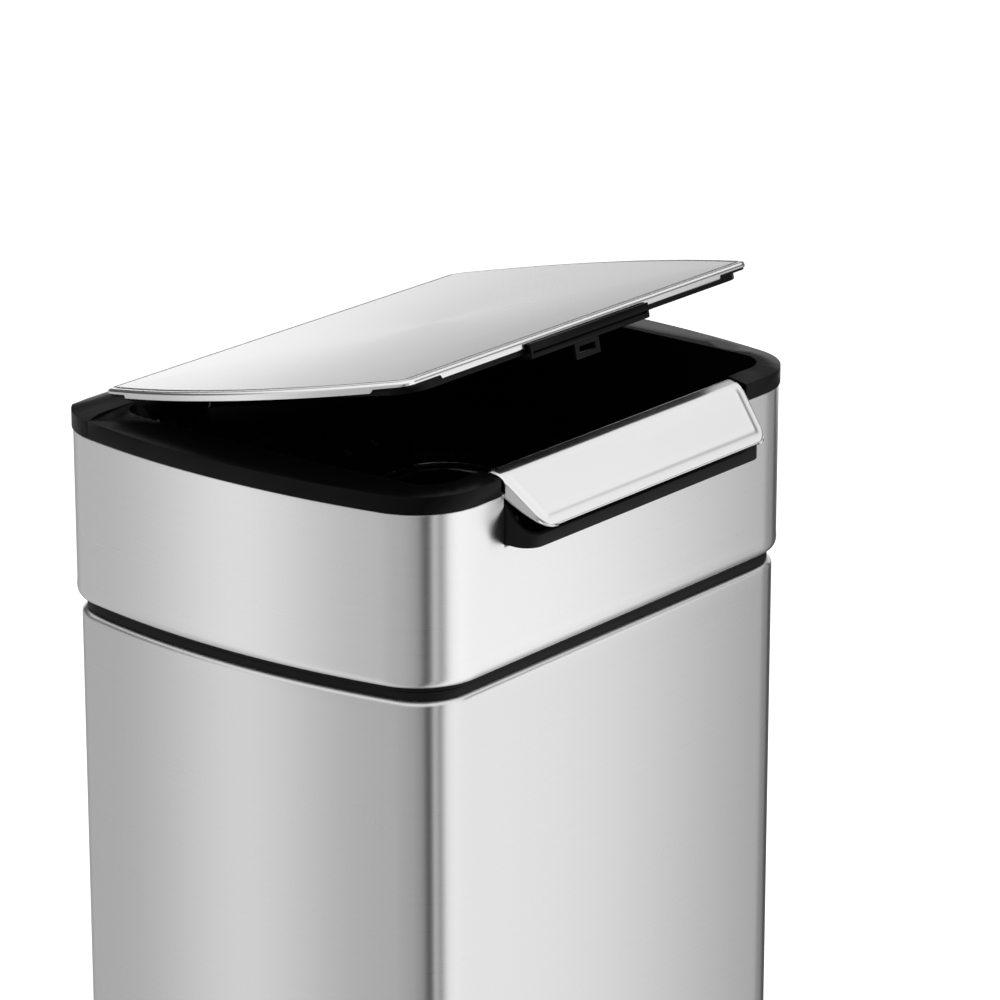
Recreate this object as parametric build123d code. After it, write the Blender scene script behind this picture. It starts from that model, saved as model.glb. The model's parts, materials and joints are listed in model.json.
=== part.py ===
from build123d import *
import os
from math import atan2, cos, degrees, hypot, pi, sin, sqrt

# Floor-standing kitchen bin in brushed steel with a push bar, a sprung lid and a hinged head.
# Millimetres, +Z up. Origin: centre of the body's footprint on the floor. The push bar faces -Y.
# The lid is drawn shut and then turned to the half-open angle at which the part rests.

# ---------------------------------------------------------------- driving dimensions
SHEET = 1.0                  # steel sheet, body, head and lid alike
PLASTIC = 2.2                # moulded wall
FIT = 0.3                    # gap between loose neighbours
PIN_FIT = 0.05               # radial running clearance of a pin in its bore
SCREW_FIT = 0.1              # radial clearance of a screw in its hole
RECESS_SHARE = 0.6           # cross recess of a screw, as a share of the head's width
BEYOND = 16.0                # how far a cutting block runs past what it cuts
LEFT, RIGHT = -1, 1

BODY_HALF_X = 178.0          # body outline: flat front and back, sides that bow outwards
BODY_HALF_Y = 150.0
SIDE_BOW = 20.0
BODY_CORNER = 35.0
HEAD_OVERHANG = 4.0          # the head stands this far outside the body
HEAD_CORNER = 45.0

BASE_HEIGHT = 20.0           # black base under the steel
BASE_INSET = 1.5
BASE_WALL = 3.0
SHELL_TOP_Z = 516.0
SHELL_TOP_ROLL = 3.5
SHELL_TOP_LIP = 8.0
SHELL_BOTTOM_ROLL = 2.5
SHELL_BOTTOM_LIP = 10.0

SEAM_GAP = 9.0               # dark joint between body and head
BAND_HEIGHT = 110.0
BAND_BOTTOM_ROLL = 5.0
BAND_BOTTOM_LIP = 11.0
BAND_TOP_ROLL = 1.5
BAND_TOP_LIP = 3.0

RIM_HEIGHT = 11.0            # black wall above the steel band
RIM_PROUD = 1.0
RIM_WALL = 3.0
RIM_RISE = 2.5               # the rim's top slopes up by this much towards the mouth
RIM_FRONT = 13.5             # width of the rim in front of the mouth
RIM_SIDE = 13.0              # and at its sides, where they are narrowest
HINGE_BAY = 41.0             # depth of the bay for the lid's hinges, behind the mouth
MOUTH_BOW = 3.0
MOUTH_CORNER = 22.0
SKIRT_DEPTH = 70.5           # wall that hangs round the mouth

LID_SIDE_LAP = 1.6           # the shut lid covers the mouth's sides by this much
LID_FRONT_GAP = 3.3          # and leaves this at the front, where the catch strip fills it
LID_REAR_GAP = 2.3
LID_BOW = 19.0
LID_CORNER = 10.0
LID_STAND = 7.5              # top of the shut lid above the mouth's edge
LID_FLANGE = 6.0
LID_EDGE_ROLL = 2.2
LID_REST_ANGLE = 11.7        # how far the lid stands open at rest
LID_AXIS_BACK = 28.6         # the lid's hinge lies this far behind the mouth
LID_AXIS_DROP = 39.7         # and this far under the rim's outer edge

BAR_END_SETBACK = 57.0       # the bar ends this far inside the body's sides
BAR_TAPER = 9.0              # how much narrower each end is at the foot
BAR_GAP = 0.8                # gap between the bar's inner edge and the mouth
BAR_STAND = 0.4              # the bar's top above the mouth's edge
BAR_FLAT = 11.0              # from the inner edge to the knee
BAR_FLAT_DROP = 2.1
BAR_SLOPE = (28.7, 28.8)     # from the knee out and down to the foot
BAR_INNER_LIP = 7.9
BAR_INNER_ROLL = 3.2
BAR_KNEE_ROLL = 10.0
BAR_CORNER = 10.0
BAR_TAPER_TOP = 6.0          # the taper starts this far under the bar's top
BAR_FLANGE_SAG = 6.0         # depth of the flange folded down at the bar's ends
BAR_SAG_PLACE = 0.55         # where along the sloping face that flange is deepest
BAR_AXIS_FRONT = 10.5        # the bar's pivot lies this far in front of the mouth

HEAD_AXIS_BACK = 10.5        # the head's hinge lies this far behind the body
KNUCKLE_R = 4.5
HEAD_PIN_R = 2.0

ARM_SETBACK = 64.0           # the two lid arms stand this far inside the mouth's sides
ARM_WIDTH = 10.0
LID_PIN_R = 3.0

# ---------------------------------------------------------------- derived places
BAND_BOTTOM_Z = SHELL_TOP_Z + SEAM_GAP
BAND_TOP_Z = BAND_BOTTOM_Z + BAND_HEIGHT
RIM_TOP_Z = BAND_TOP_Z + RIM_HEIGHT
MOUTH_EDGE_Z = RIM_TOP_Z + RIM_RISE
SKIRT_BOTTOM_Z = MOUTH_EDGE_Z - SKIRT_DEPTH
HEAD_BACK_Y = BODY_HALF_Y + HEAD_OVERHANG
HEAD_AXIS_Y = BODY_HALF_Y + HEAD_AXIS_BACK
HEAD_AXIS_Z = SHELL_TOP_Z + SEAM_GAP / 2
MOUTH_HALF_X = BODY_HALF_X + HEAD_OVERHANG - RIM_SIDE
MOUTH_FRONT_Y = RIM_FRONT - HEAD_BACK_Y
MOUTH_REAR_Y = HEAD_BACK_Y - HINGE_BAY
LID_HALF_X = MOUTH_HALF_X + LID_SIDE_LAP
LID_FRONT_Y = MOUTH_FRONT_Y + LID_FRONT_GAP
LID_REAR_Y = MOUTH_REAR_Y - LID_REAR_GAP
LID_TOP_Z = MOUTH_EDGE_Z + LID_STAND
LID_FLANGE_Z = LID_TOP_Z - LID_FLANGE
LID_AXIS_Y = MOUTH_REAR_Y + LID_AXIS_BACK
LID_AXIS_Z = RIM_TOP_Z - LID_AXIS_DROP
LID_AXIS = Axis((0, LID_AXIS_Y, LID_AXIS_Z), (-1, 0, 0))
ARM_X = MOUTH_HALF_X - ARM_SETBACK
BAR_TOP_HALF_X = BODY_HALF_X - BAR_END_SETBACK
BAR_FOOT_HALF_X = BAR_TOP_HALF_X - BAR_TAPER
BAR_INNER_Y = MOUTH_FRONT_Y - BAR_GAP
BAR_TOP_Z = MOUTH_EDGE_Z + BAR_STAND
BAR_INNER_LIP_Z = BAR_TOP_Z - BAR_INNER_LIP
BAR_KNEE_Y = BAR_INNER_Y - BAR_FLAT
BAR_KNEE_Z = BAR_TOP_Z - BAR_FLAT_DROP
BAR_FOOT_Y = BAR_KNEE_Y - BAR_SLOPE[0]
BAR_FOOT_Z = BAR_KNEE_Z - BAR_SLOPE[1]
BAR_AXIS_Y = MOUTH_FRONT_Y - BAR_AXIS_FRONT
BAR_AXIS_Z = BAR_FOOT_Z


# ---------------------------------------------------------------- shared shapes
class Outline:
    """Rounded rectangle, front and back flat, sides bowed; insets keep the same arc centres."""

    def __init__(self, half_x, front_y, back_y, bow, corner):
        self.half_x, self.bow, self.corner = half_x, bow, corner
        self.half_y = (back_y - front_y) / 2
        self.middle_y = (back_y + front_y) / 2
        self.side_r = (self.half_y**2 + bow**2) / (2 * bow)
        self.side_x = self.side_r - half_x - bow
        self.corner_y = self.half_y - corner
        self.corner_x = sqrt((self.side_r - corner) ** 2 - self.corner_y**2) - self.side_x

    def face(self, inset=0.0):
        """Closed face at height zero, drawn in by inset (drawn out if it is negative)."""
        flat_y = self.half_y - inset
        radius = self.corner - inset
        reach = self.side_r - self.corner
        ux, uy = (self.corner_x + self.side_x) / reach, self.corner_y / reach
        tangent = (self.corner_x + radius * ux, self.corner_y + radius * uy)
        bend = hypot(ux, 1 + uy)
        middle = (self.corner_x + radius * ux / bend, self.corner_y + radius * (1 + uy) / bend)
        side = (self.half_x + self.bow - inset, 0)

        def at(point, sign_x, sign_y):
            return (point[0] * sign_x, point[1] * sign_y + self.middle_y)

        flat = (self.corner_x, flat_y)
        edges = [
            Line(at(flat, -1, -1), at(flat, 1, -1)),
            ThreePointArc(at(flat, 1, -1), at(middle, 1, -1), at(tangent, 1, -1)),
            ThreePointArc(at(tangent, 1, -1), at(side, 1, 1), at(tangent, 1, 1)),
            ThreePointArc(at(tangent, 1, 1), at(middle, 1, 1), at(flat, 1, 1)),
            Line(at(flat, 1, 1), at(flat, -1, 1)),
            ThreePointArc(at(flat, -1, 1), at(middle, -1, 1), at(tangent, -1, 1)),
            ThreePointArc(at(tangent, -1, 1), at(side, -1, 1), at(tangent, -1, -1)),
            ThreePointArc(at(tangent, -1, -1), at(middle, -1, -1), at(flat, -1, -1)),
        ]
        return Face(Wire(edges))

    def prism(self, inset, low, high):
        return extrude(Pos(0, 0, low) * self.face(inset), amount=high - low, dir=(0, 0, 1))

    def ring(self, outer_inset, inner_inset, low, high):
        return self.prism(outer_inset, low, high) - self.prism(inner_inset, low, high)


BODY = Outline(BODY_HALF_X, -BODY_HALF_Y, BODY_HALF_Y, SIDE_BOW, BODY_CORNER)
HEAD = Outline(BODY_HALF_X + HEAD_OVERHANG, -HEAD_BACK_Y, HEAD_BACK_Y, SIDE_BOW, HEAD_CORNER)
MOUTH = Outline(MOUTH_HALF_X, MOUTH_FRONT_Y, MOUTH_REAR_Y, MOUTH_BOW, MOUTH_CORNER)
LID = Outline(LID_HALF_X, LID_FRONT_Y, LID_REAR_Y, LID_BOW, LID_CORNER)


def block(x, y, z):
    """Box given by its low and high ends along each axis."""
    size = (x[1] - x[0], y[1] - y[0], z[1] - z[0])
    return Pos(*((a + b) / 2 for a, b in (x, y, z))) * Box(*size)


def rod_x(radius, x, y, z):
    """Round bar along X between two x values, centred on (y, z)."""
    return Pos((x[0] + x[1]) / 2, y, z) * Rot(0, 90, 0) * Cylinder(radius, x[1] - x[0])


def rod_y(radius, x, y, z):
    return Pos(x, (y[0] + y[1]) / 2, z) * Rot(90, 0, 0) * Cylinder(radius, y[1] - y[0])


def rod_z(radius, x, y, z):
    return Pos(x, y, (z[0] + z[1]) / 2) * Cylinder(radius, z[1] - z[0])


def slab_x(face, x):
    """Face drawn in (y, z), carried along X between two x values."""
    return extrude(Plane.YZ.offset(x[0]) * face, amount=x[1] - x[0], dir=(1, 0, 0))


def slab_y(face, y):
    """Face drawn in (x, z), carried along Y between two y values."""
    return extrude(Plane.XZ.offset(-y[0]) * face, amount=y[1] - y[0], dir=(0, 1, 0))


def joined(pieces):
    """Fuse a list of overlapping solids into one."""
    first, *rest = pieces
    for piece in rest:
        first = first + piece
    return first


def group(pieces):
    """Separate solids that share one node."""
    return Compound(children=[solid for piece in pieces for solid in piece.solids()])


def rolled(solid, radius, top=True):
    """Round the lowest or highest outline of an upright prism."""
    return fillet(solid.edges().group_by(Axis.Z)[-1 if top else 0], radius)


def sleeve(outline, low, high, low_roll, low_lip, high_roll, high_lip):
    """Sheet steel wall whose two ends roll inwards to a flat lip."""
    outer = rolled(rolled(outline.prism(0, low, high), high_roll), low_roll, top=False)
    inner = outline.prism(SHEET, low + SHEET, high - SHEET)
    inner = rolled(rolled(inner, high_roll - SHEET / 2), low_roll - SHEET, top=False)
    middle = (low + high) / 2
    return (outer - inner - outline.prism(low_lip, low - SHEET, middle)
            - outline.prism(high_lip, middle, high + SHEET))


def screw(shank_r, head_r, head_h, length):
    """Pan-head screw with its head's seat at height zero, shank downwards, cross recess on top."""
    head = rod_z(head_r, 0, 0, (0, head_h))
    head = fillet(head.edges().group_by(Axis.Z)[-1], head_h / 3)
    slot = 2 * head_r * RECESS_SHARE
    for turn in (0, 90):
        head = head - Rot(0, 0, turn) * Pos(0, 0, head_h) * Box(slot, slot / 4, head_h)
    return head + rod_z(shank_r, 0, 0, (-length, 0))


# ---------------------------------------------------------------- body
SHELL_SCREW_INSET = 6.0
SHELL_SCREW_R = 1.9
SHELL_SCREW_HEAD = (3.4, 2.2)
SHELL_SCREW_LENGTH = 12.0
BASE_FLOOR = 3.0
BASE_SHOULDER = 3.0
BASE_SHOULDER_WIDTH = 12.5
BASE_UPSTAND = 15.0
BASE_UPSTAND_WALL = 2.5
BASE_BOSS_R = 4.5
PAD_R = 14.0
PAD_DEPTH = 1.5
PAD_SETBACK = (28.0, 35.0)
PAD_X, PAD_Y = BODY_HALF_X - PAD_SETBACK[0], BODY_HALF_Y - PAD_SETBACK[1]
SHELL_SCREW_X = BODY_HALF_X - 68.0
SHELL_SCREWS = [(x, y) for x in (-SHELL_SCREW_X, 0, SHELL_SCREW_X)
                for y in (-BODY_HALF_Y + SHELL_SCREW_INSET, BODY_HALF_Y - SHELL_SCREW_INSET)]
PADS = [(x, y) for x in (-PAD_X, PAD_X) for y in (-PAD_Y, PAD_Y)]


def body_shell():
    shell = sleeve(BODY, BASE_HEIGHT, SHELL_TOP_Z, SHELL_BOTTOM_ROLL, SHELL_BOTTOM_LIP,
                   SHELL_TOP_ROLL, SHELL_TOP_LIP)
    for x, y in SHELL_SCREWS:
        shell = shell - rod_z(SHELL_SCREW_R + SCREW_FIT, x, y, (BASE_HEIGHT - 1, BASE_HEIGHT + 2))
    for x, z in leaf_screws(LOWER_LEAF_Z):
        shell = shell - rod_y(LEAF_SCREW_R + SCREW_FIT, x, (BODY_HALF_Y - 2, BODY_HALF_Y + 1), z)
    return shell


def base_tray():
    """Flat-bottomed black pan that the steel wall stands on, with a collar inside the wall."""
    shoulder_z = BASE_HEIGHT - BASE_SHOULDER
    collar = SHELL_BOTTOM_LIP + FIT
    tray = joined([
        BODY.prism(BASE_INSET, 0, BASE_FLOOR),
        BODY.ring(BASE_INSET, BASE_INSET + BASE_WALL, 0, BASE_HEIGHT),
        BODY.ring(BASE_INSET, BASE_INSET + BASE_SHOULDER_WIDTH, shoulder_z, BASE_HEIGHT),
        BODY.ring(collar, collar + BASE_UPSTAND_WALL, shoulder_z, BASE_HEIGHT + BASE_UPSTAND),
    ])
    for x, y in SHELL_SCREWS:
        tray = tray + rod_z(BASE_BOSS_R, x, y, (BASE_FLOOR - 1, BASE_HEIGHT - 1))
    for x, y in SHELL_SCREWS:
        tray = tray - rod_z(SHELL_SCREW_R + SCREW_FIT, x, y, (BASE_FLOOR + 2, BASE_HEIGHT + 1))
    for x, y in PADS:
        tray = tray - rod_z(PAD_R + SCREW_FIT, x, y, (-1, PAD_DEPTH))
    return tray


def foot_pads():
    return group([rod_z(PAD_R, x, y, (0, PAD_DEPTH)) for x, y in PADS])


def shell_screws():
    one = screw(SHELL_SCREW_R, *SHELL_SCREW_HEAD, SHELL_SCREW_LENGTH)
    return group([Pos(x, y, BASE_HEIGHT + SHEET) * one for x, y in SHELL_SCREWS])


# The ring in the seam closes the top of the body and carries the bag.
RING_INSET = 3.2
RING_HEIGHT = 5.6
RING_FLANGE = 2.5
RING_UPSTAND = 2.8
RING_SKIRT_DEPTH = 28.0
BAG_WALL = 0.8
BAG_BOTTOM_Z = BASE_HEIGHT + BASE_UPSTAND + 1.0
HOOP_DEPTH = 22.0
HOOP_WALL = 2.4
HOOP_FLANGE = 1.7


def ring_levels():
    """Insets of the ring's skirt and of the bag and hoop inside it."""
    skirt = SHELL_TOP_LIP + FIT
    bag = skirt + PLASTIC + FIT
    return skirt, bag, bag + BAG_WALL + FIT


def seam_ring():
    skirt, bag, _ = ring_levels()
    return joined([
        BODY.ring(RING_INSET, skirt + PLASTIC, SHELL_TOP_Z, SHELL_TOP_Z + RING_FLANGE),
        BODY.ring(RING_INSET, RING_INSET + RING_UPSTAND, SHELL_TOP_Z, SHELL_TOP_Z + RING_HEIGHT),
        BODY.ring(skirt, skirt + PLASTIC, SHELL_TOP_Z - RING_SKIRT_DEPTH,
                  SHELL_TOP_Z + RING_FLANGE),
    ])


def bin_liner():
    """Bag hung inside the ring, its mouth folded out over the ring's flange."""
    _, bag, _ = ring_levels()
    fold_z = SHELL_TOP_Z + RING_FLANGE + FIT
    outer = BODY.prism(bag, BAG_BOTTOM_Z, fold_z + BAG_WALL)
    hollow = BODY.prism(bag + BAG_WALL, BAG_BOTTOM_Z + BAG_WALL, fold_z + 2 * BAG_WALL)
    fold = BODY.ring(RING_INSET + RING_UPSTAND + FIT, bag + BAG_WALL, fold_z, fold_z + BAG_WALL)
    return outer + fold - hollow


def bag_hoop():
    """Loose hoop that traps the bag in the ring."""
    _, _, hoop = ring_levels()
    low = SHELL_TOP_Z + RING_FLANGE + 2 * FIT + BAG_WALL
    return joined([
        BODY.ring(RING_INSET + RING_UPSTAND + FIT, hoop + HOOP_WALL, low, low + HOOP_FLANGE),
        BODY.ring(hoop, hoop + HOOP_WALL, low - HOOP_DEPTH, low + HOOP_FLANGE),
    ])


# ---------------------------------------------------------------- hinge of the head
LEAF_X = BODY_HALF_X - 68.0
LEAF_HALF_WIDTH = 22.0
LEAF_THICK = 2.0
KNUCKLE_HALF = 8.0
KNUCKLE_OUTER = 20.0
LEAF_SCREW_R = 1.9
LEAF_SCREW_HEAD = (3.6, 1.8)
LEAF_SCREW_LENGTH = 7.0
LEAF_SCREW_DX = 14.0
LOWER_LEAF_Z = (SHELL_TOP_Z - 38.0, SHELL_TOP_Z - 3.0)
UPPER_LEAF_Z = (BAND_BOTTOM_Z + 7.0, BAND_BOTTOM_Z + 37.0)


def leaf_screws(levels):
    middle = (levels[0] + levels[1]) / 2
    return [(side * LEAF_X + dx, middle) for side in (-1, 1) for dx in (-LEAF_SCREW_DX, LEAF_SCREW_DX)]


def leaf(side, back_y, levels, knuckles, bridge_z):
    """Plate on the rear wall with a bent strap that rolls round the pin."""
    middle = side * LEAF_X
    plate_x = (middle - LEAF_HALF_WIDTH, middle + LEAF_HALF_WIDTH)
    plate = block(plate_x, (back_y, back_y + LEAF_THICK), levels)
    near, far = bridge_z
    strap = Polygon((back_y, near), (back_y + LEAF_THICK, near), (HEAD_AXIS_Y, far),
                    (HEAD_AXIS_Y, HEAD_AXIS_Z), align=None)
    parts = [plate]
    for low, high in knuckles:
        span = (middle + low, middle + high)
        parts.append(slab_x(strap, span))
        parts.append(rod_x(KNUCKLE_R, span, HEAD_AXIS_Y, HEAD_AXIS_Z))
    piece = joined(parts)
    piece = piece - rod_x(HEAD_PIN_R + PIN_FIT, plate_x, HEAD_AXIS_Y, HEAD_AXIS_Z)
    for x, z in leaf_screws(levels):
        piece = piece - rod_y(LEAF_SCREW_R + SCREW_FIT, x, (back_y - 1, back_y + LEAF_THICK + 1), z)
    return piece


def hinge_leaf_lower():
    strap = (LOWER_LEAF_Z[1], HEAD_AXIS_Z - KNUCKLE_R)
    spans = [(-KNUCKLE_HALF, KNUCKLE_HALF)]
    return group([leaf(side, BODY_HALF_Y, LOWER_LEAF_Z, spans, strap) for side in (-1, 1)])


def hinge_leaf_upper():
    strap = (UPPER_LEAF_Z[0], HEAD_AXIS_Z + KNUCKLE_R)
    start = KNUCKLE_HALF + FIT
    spans = [(-KNUCKLE_OUTER, -start), (start, KNUCKLE_OUTER)]
    return group([leaf(side, HEAD_BACK_Y, UPPER_LEAF_Z, spans, strap) for side in (-1, 1)])


def head_hinge_pins():
    half = KNUCKLE_OUTER
    return group([rod_x(HEAD_PIN_R, (side * LEAF_X - half, side * LEAF_X + half),
                        HEAD_AXIS_Y, HEAD_AXIS_Z) for side in (-1, 1)])


def leaf_screw_group(back_y, levels):
    one = Rot(-90, 0, 0) * screw(LEAF_SCREW_R, *LEAF_SCREW_HEAD, LEAF_SCREW_LENGTH)
    return group([Pos(x, back_y + LEAF_THICK, z) * one for x, z in leaf_screws(levels)])


# ---------------------------------------------------------------- head: steel band and frame
BAY_HALF_X = BAR_TOP_HALF_X + 3.0    # bay that the rim leaves for the push bar
BAY_SKIRT_Z = BAR_AXIS_Z + 12.0      # the mouth's wall is cut down to here behind the bar
POST_R = 4.0
POST_INSET = 9.8
POST_X = BODY_HALF_X - 28.0
FRAME_SCREW_R = 1.45
FRAME_SCREW_HEAD = (2.3, 1.6)
FRAME_SCREW_LENGTH = 14.0
FOOT_RING = (6.4, 13.4)
FOOT_RING_Z = (SHELL_TOP_Z + 6.0, BAND_BOTTOM_Z)
HUB_R = 8.0
SLOT_HALF = ARM_WIDTH / 2 + 3.0
SLOT_REAR_Y = LID_AXIS_Y + HUB_R + 0.4
SLOT_LOW_Z = LID_AXIS_Z - 6.3
WEB_LOW_Z = SLOT_LOW_Z


def post_places():
    front = HEAD.half_y - POST_INSET
    side = HEAD.half_x + HEAD.bow - POST_INSET
    corners = [(x, y) for x in (-POST_X, POST_X) for y in (-front, front)]
    return corners + [(-side, 0), (side, 0)]


def head_band():
    band = sleeve(HEAD, BAND_BOTTOM_Z, BAND_TOP_Z, BAND_BOTTOM_ROLL, BAND_BOTTOM_LIP,
                  BAND_TOP_ROLL, BAND_TOP_LIP)
    for x, y in post_places():
        band = band - rod_z(FRAME_SCREW_R + SCREW_FIT, x, y, (BAND_BOTTOM_Z - 1, BAND_BOTTOM_Z + 2))
    for x, z in leaf_screws(UPPER_LEAF_Z):
        band = band - rod_y(LEAF_SCREW_R + SCREW_FIT, x, (HEAD_BACK_Y - 2, HEAD_BACK_Y + 1), z)
    notch = (-TRAY_HALF_X - FIT, TRAY_HALF_X + FIT)
    return band - block(notch, (-HEAD_BACK_Y - BEYOND, MOUTH_FRONT_Y - 2 * PLASTIC),
                        (TRAY_FLOOR_Z - FIT, BAND_TOP_Z + 1))


def rim_slope(drop=0.0):
    """Solid under the sloping rim: outer outline below, mouth outline on top."""
    low = Pos(0, 0, RIM_TOP_Z - drop) * HEAD.face(-RIM_PROUD)
    high = Pos(0, 0, MOUTH_EDGE_Z - drop) * MOUTH.face(0)
    return loft([low, high], ruled=True)


def arm_slots(low_z, high_z):
    """Slots that the two lid arms swing through, from the mouth back into the rear bay."""
    return [block((side * ARM_X - SLOT_HALF, side * ARM_X + SLOT_HALF),
                  (MOUTH_REAR_Y - 1, SLOT_REAR_Y), (low_z, high_z)) for side in (-1, 1)]


def rim_frame():
    """Moulded head frame: outer wall, sloping rim, wall round the mouth and six posts."""
    void_top = RIM_TOP_Z - RIM_RISE
    frame = HEAD.prism(-RIM_PROUD, BAND_TOP_Z, RIM_TOP_Z) + rim_slope()
    frame = frame - HEAD.prism(RIM_WALL - RIM_PROUD, BAND_TOP_Z - 1, void_top)
    frame = frame - (rim_slope(RIM_RISE) & HEAD.prism(RIM_WALL - RIM_PROUD, void_top, MOUTH_EDGE_Z))
    frame = frame + MOUTH.ring(-PLASTIC, 0, SKIRT_BOTTOM_Z, MOUTH_EDGE_Z - RIM_RISE / 2)
    posts = [rod_z(POST_R, x, y, (BAND_BOTTOM_Z + SHEET, RIM_TOP_Z - 1)) for x, y in post_places()]
    webs = [block((x - PLASTIC / 2, x + PLASTIC / 2), (MOUTH_REAR_Y - 1, y), (WEB_LOW_Z, COVER_SEAT_Z))
            for x, y in post_places() if y > 0]
    tabs = [block((x - TAB_HALF, x + TAB_HALF), (MOUTH_REAR_Y + 1, COVER_SCREW_Y + TAB_HALF), TAB_Z)
            for x in COVER_SCREW_X]
    frame = joined([frame] + posts + webs + tabs) - MOUTH.prism(0, SKIRT_BOTTOM_Z - 1, MOUTH_EDGE_Z + 1)
    wide = (-HEAD.half_x - HEAD.bow - BEYOND, HEAD.half_x + HEAD.bow + BEYOND)
    frame = frame - block(wide, (COVER_FRONT_Y, HEAD_BACK_Y + BEYOND), (COVER_SEAT_Z, MOUTH_EDGE_Z + 1))
    for x in COVER_SCREW_X:
        frame = frame - rod_z(COVER_SCREW_R + SCREW_FIT, x, COVER_SCREW_Y, (TAB_Z[0] - 1, TAB_Z[1] + 1))
    for x, y in post_places():
        hole = (BAND_BOTTOM_Z, BAND_BOTTOM_Z + FRAME_SCREW_LENGTH)
        frame = frame - rod_z(FRAME_SCREW_R + SCREW_FIT, x, y, hole)
    for slot in arm_slots(SLOT_LOW_Z, MOUTH_EDGE_Z + 1):
        frame = frame - slot
    bay = (-BAY_HALF_X, BAY_HALF_X)
    front_wall = (MOUTH_FRONT_Y - PLASTIC - 1, MOUTH_FRONT_Y + 1)
    rear_wall = (MOUTH_REAR_Y - 1, MOUTH_REAR_Y + PLASTIC + 1)
    frame = frame - block(bay, (-HEAD_BACK_Y - BEYOND, MOUTH_FRONT_Y - PLASTIC), (BAND_TOP_Z - 1, LID_TOP_Z))
    frame = frame - block(bay, front_wall, (BAY_SKIRT_Z, LID_TOP_Z))
    for x, z in TRAY_SCREWS:
        frame = frame - rod_y(TRAY_SCREW_R + SCREW_FIT, x, front_wall, z)
    for x, z in bracket_screws(LEFT) + bracket_screws(RIGHT):
        frame = frame - rod_y(BRACKET_SCREW_R + SCREW_FIT, x, rear_wall, z)
    return frame


def foot_ring():
    """Ring under the band's lip, screwed up into the frame's posts."""
    ring = HEAD.ring(*FOOT_RING, *FOOT_RING_Z)
    head_r, head_h = FRAME_SCREW_HEAD
    for x, y in post_places():
        ring = ring - rod_z(FRAME_SCREW_R + SCREW_FIT, x, y, (FOOT_RING_Z[0] - 1, FOOT_RING_Z[1] + 1))
        ring = ring - rod_z(head_r + 2 * SCREW_FIT, x, y, (FOOT_RING_Z[0] - 1, FOOT_RING_Z[0] + head_h))
    return ring


def frame_screws():
    head_r, head_h = FRAME_SCREW_HEAD
    one = Rot(180, 0, 0) * screw(FRAME_SCREW_R, head_r, head_h, FRAME_SCREW_LENGTH)
    return group([Pos(x, y, FOOT_RING_Z[0] + head_h) * one for x, y in post_places()])


# ---------------------------------------------------------------- rear cover
COVER_FRONT_Y = MOUTH_REAR_Y + PLASTIC
COVER_SEAT_Z = BAND_TOP_Z + 2.5
COVER_WALL = 2.2
COVER_SHOULDER = 25.0        # inset at which the sloping corners reach the crown's height
COVER_CROWN_Z = MOUTH_EDGE_Z + 4.0
COVER_ROLL = 8.0             # rounding of the cover's rear edge
COVER_BACK_Y = HEAD_BACK_Y + RIM_PROUD
COVER_SIGHT = (COVER_BACK_Y - 11.0, COVER_CROWN_Z - 4.3)
COVER_CROWN = (COVER_BACK_Y - 26.0, COVER_CROWN_Z - 1.3)
COVER_SCREW_END = BODY_HALF_X - 36.0
COVER_SCREW_NEAR = 50.0
COVER_SCREW_X = (-COVER_SCREW_END, -COVER_SCREW_NEAR, COVER_SCREW_NEAR, COVER_SCREW_END)
COVER_SCREW_Y = MOUTH_REAR_Y + 8.0
COVER_SCREW_R = 1.45
COVER_SCREW_HEAD = (2.8, 1.6)
COVER_SCREW_LENGTH = 13.0
COVER_BOSS_R = 3.5
COVER_BOSS_TOP = COVER_CROWN_Z - 4.5
TAB_HALF = 6.0
TAB_Z = (COVER_SEAT_Z - 7.5, COVER_SEAT_Z - 3.5)


def cover_form(inset):
    """Domed rear of the rim: sloping corners, low crown, rounded rear edge; drawn in by inset."""
    base_z = COVER_SEAT_Z - 4 * COVER_WALL
    shoulder_z = RIM_TOP_Z - inset
    outline = HEAD.face(inset - RIM_PROUD)
    slope = loft([Pos(0, 0, shoulder_z) * outline,
                  Pos(0, 0, COVER_CROWN_Z - inset) * HEAD.face(COVER_SHOULDER)], ruled=True)
    dome = HEAD.prism(inset - RIM_PROUD, base_z, shoulder_z) + slope
    front = (COVER_FRONT_Y, MOUTH_EDGE_Z)
    seat = (COVER_BACK_Y, COVER_SEAT_Z)
    middle, rolled_top = (
        (COVER_BACK_Y - COVER_ROLL + COVER_ROLL * cos(turn), COVER_SEAT_Z + COVER_ROLL * sin(turn))
        for turn in (pi / 8, pi / 4))
    section = make_face([
        Line((COVER_FRONT_Y, base_z), (COVER_BACK_Y, base_z)),
        Line((COVER_BACK_Y, base_z), seat),
        ThreePointArc(seat, middle, rolled_top),
        Line(rolled_top, COVER_SIGHT),
        ThreePointArc(COVER_SIGHT, COVER_CROWN, front),
        Line(front, (COVER_FRONT_Y, base_z)),
    ])
    if inset > 0:
        section = offset(section, -inset, kind=Kind.INTERSECTION)
    reach = HEAD.half_x + HEAD.bow + RIM_PROUD
    return dome & slab_x(section, (-reach, reach))


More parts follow.
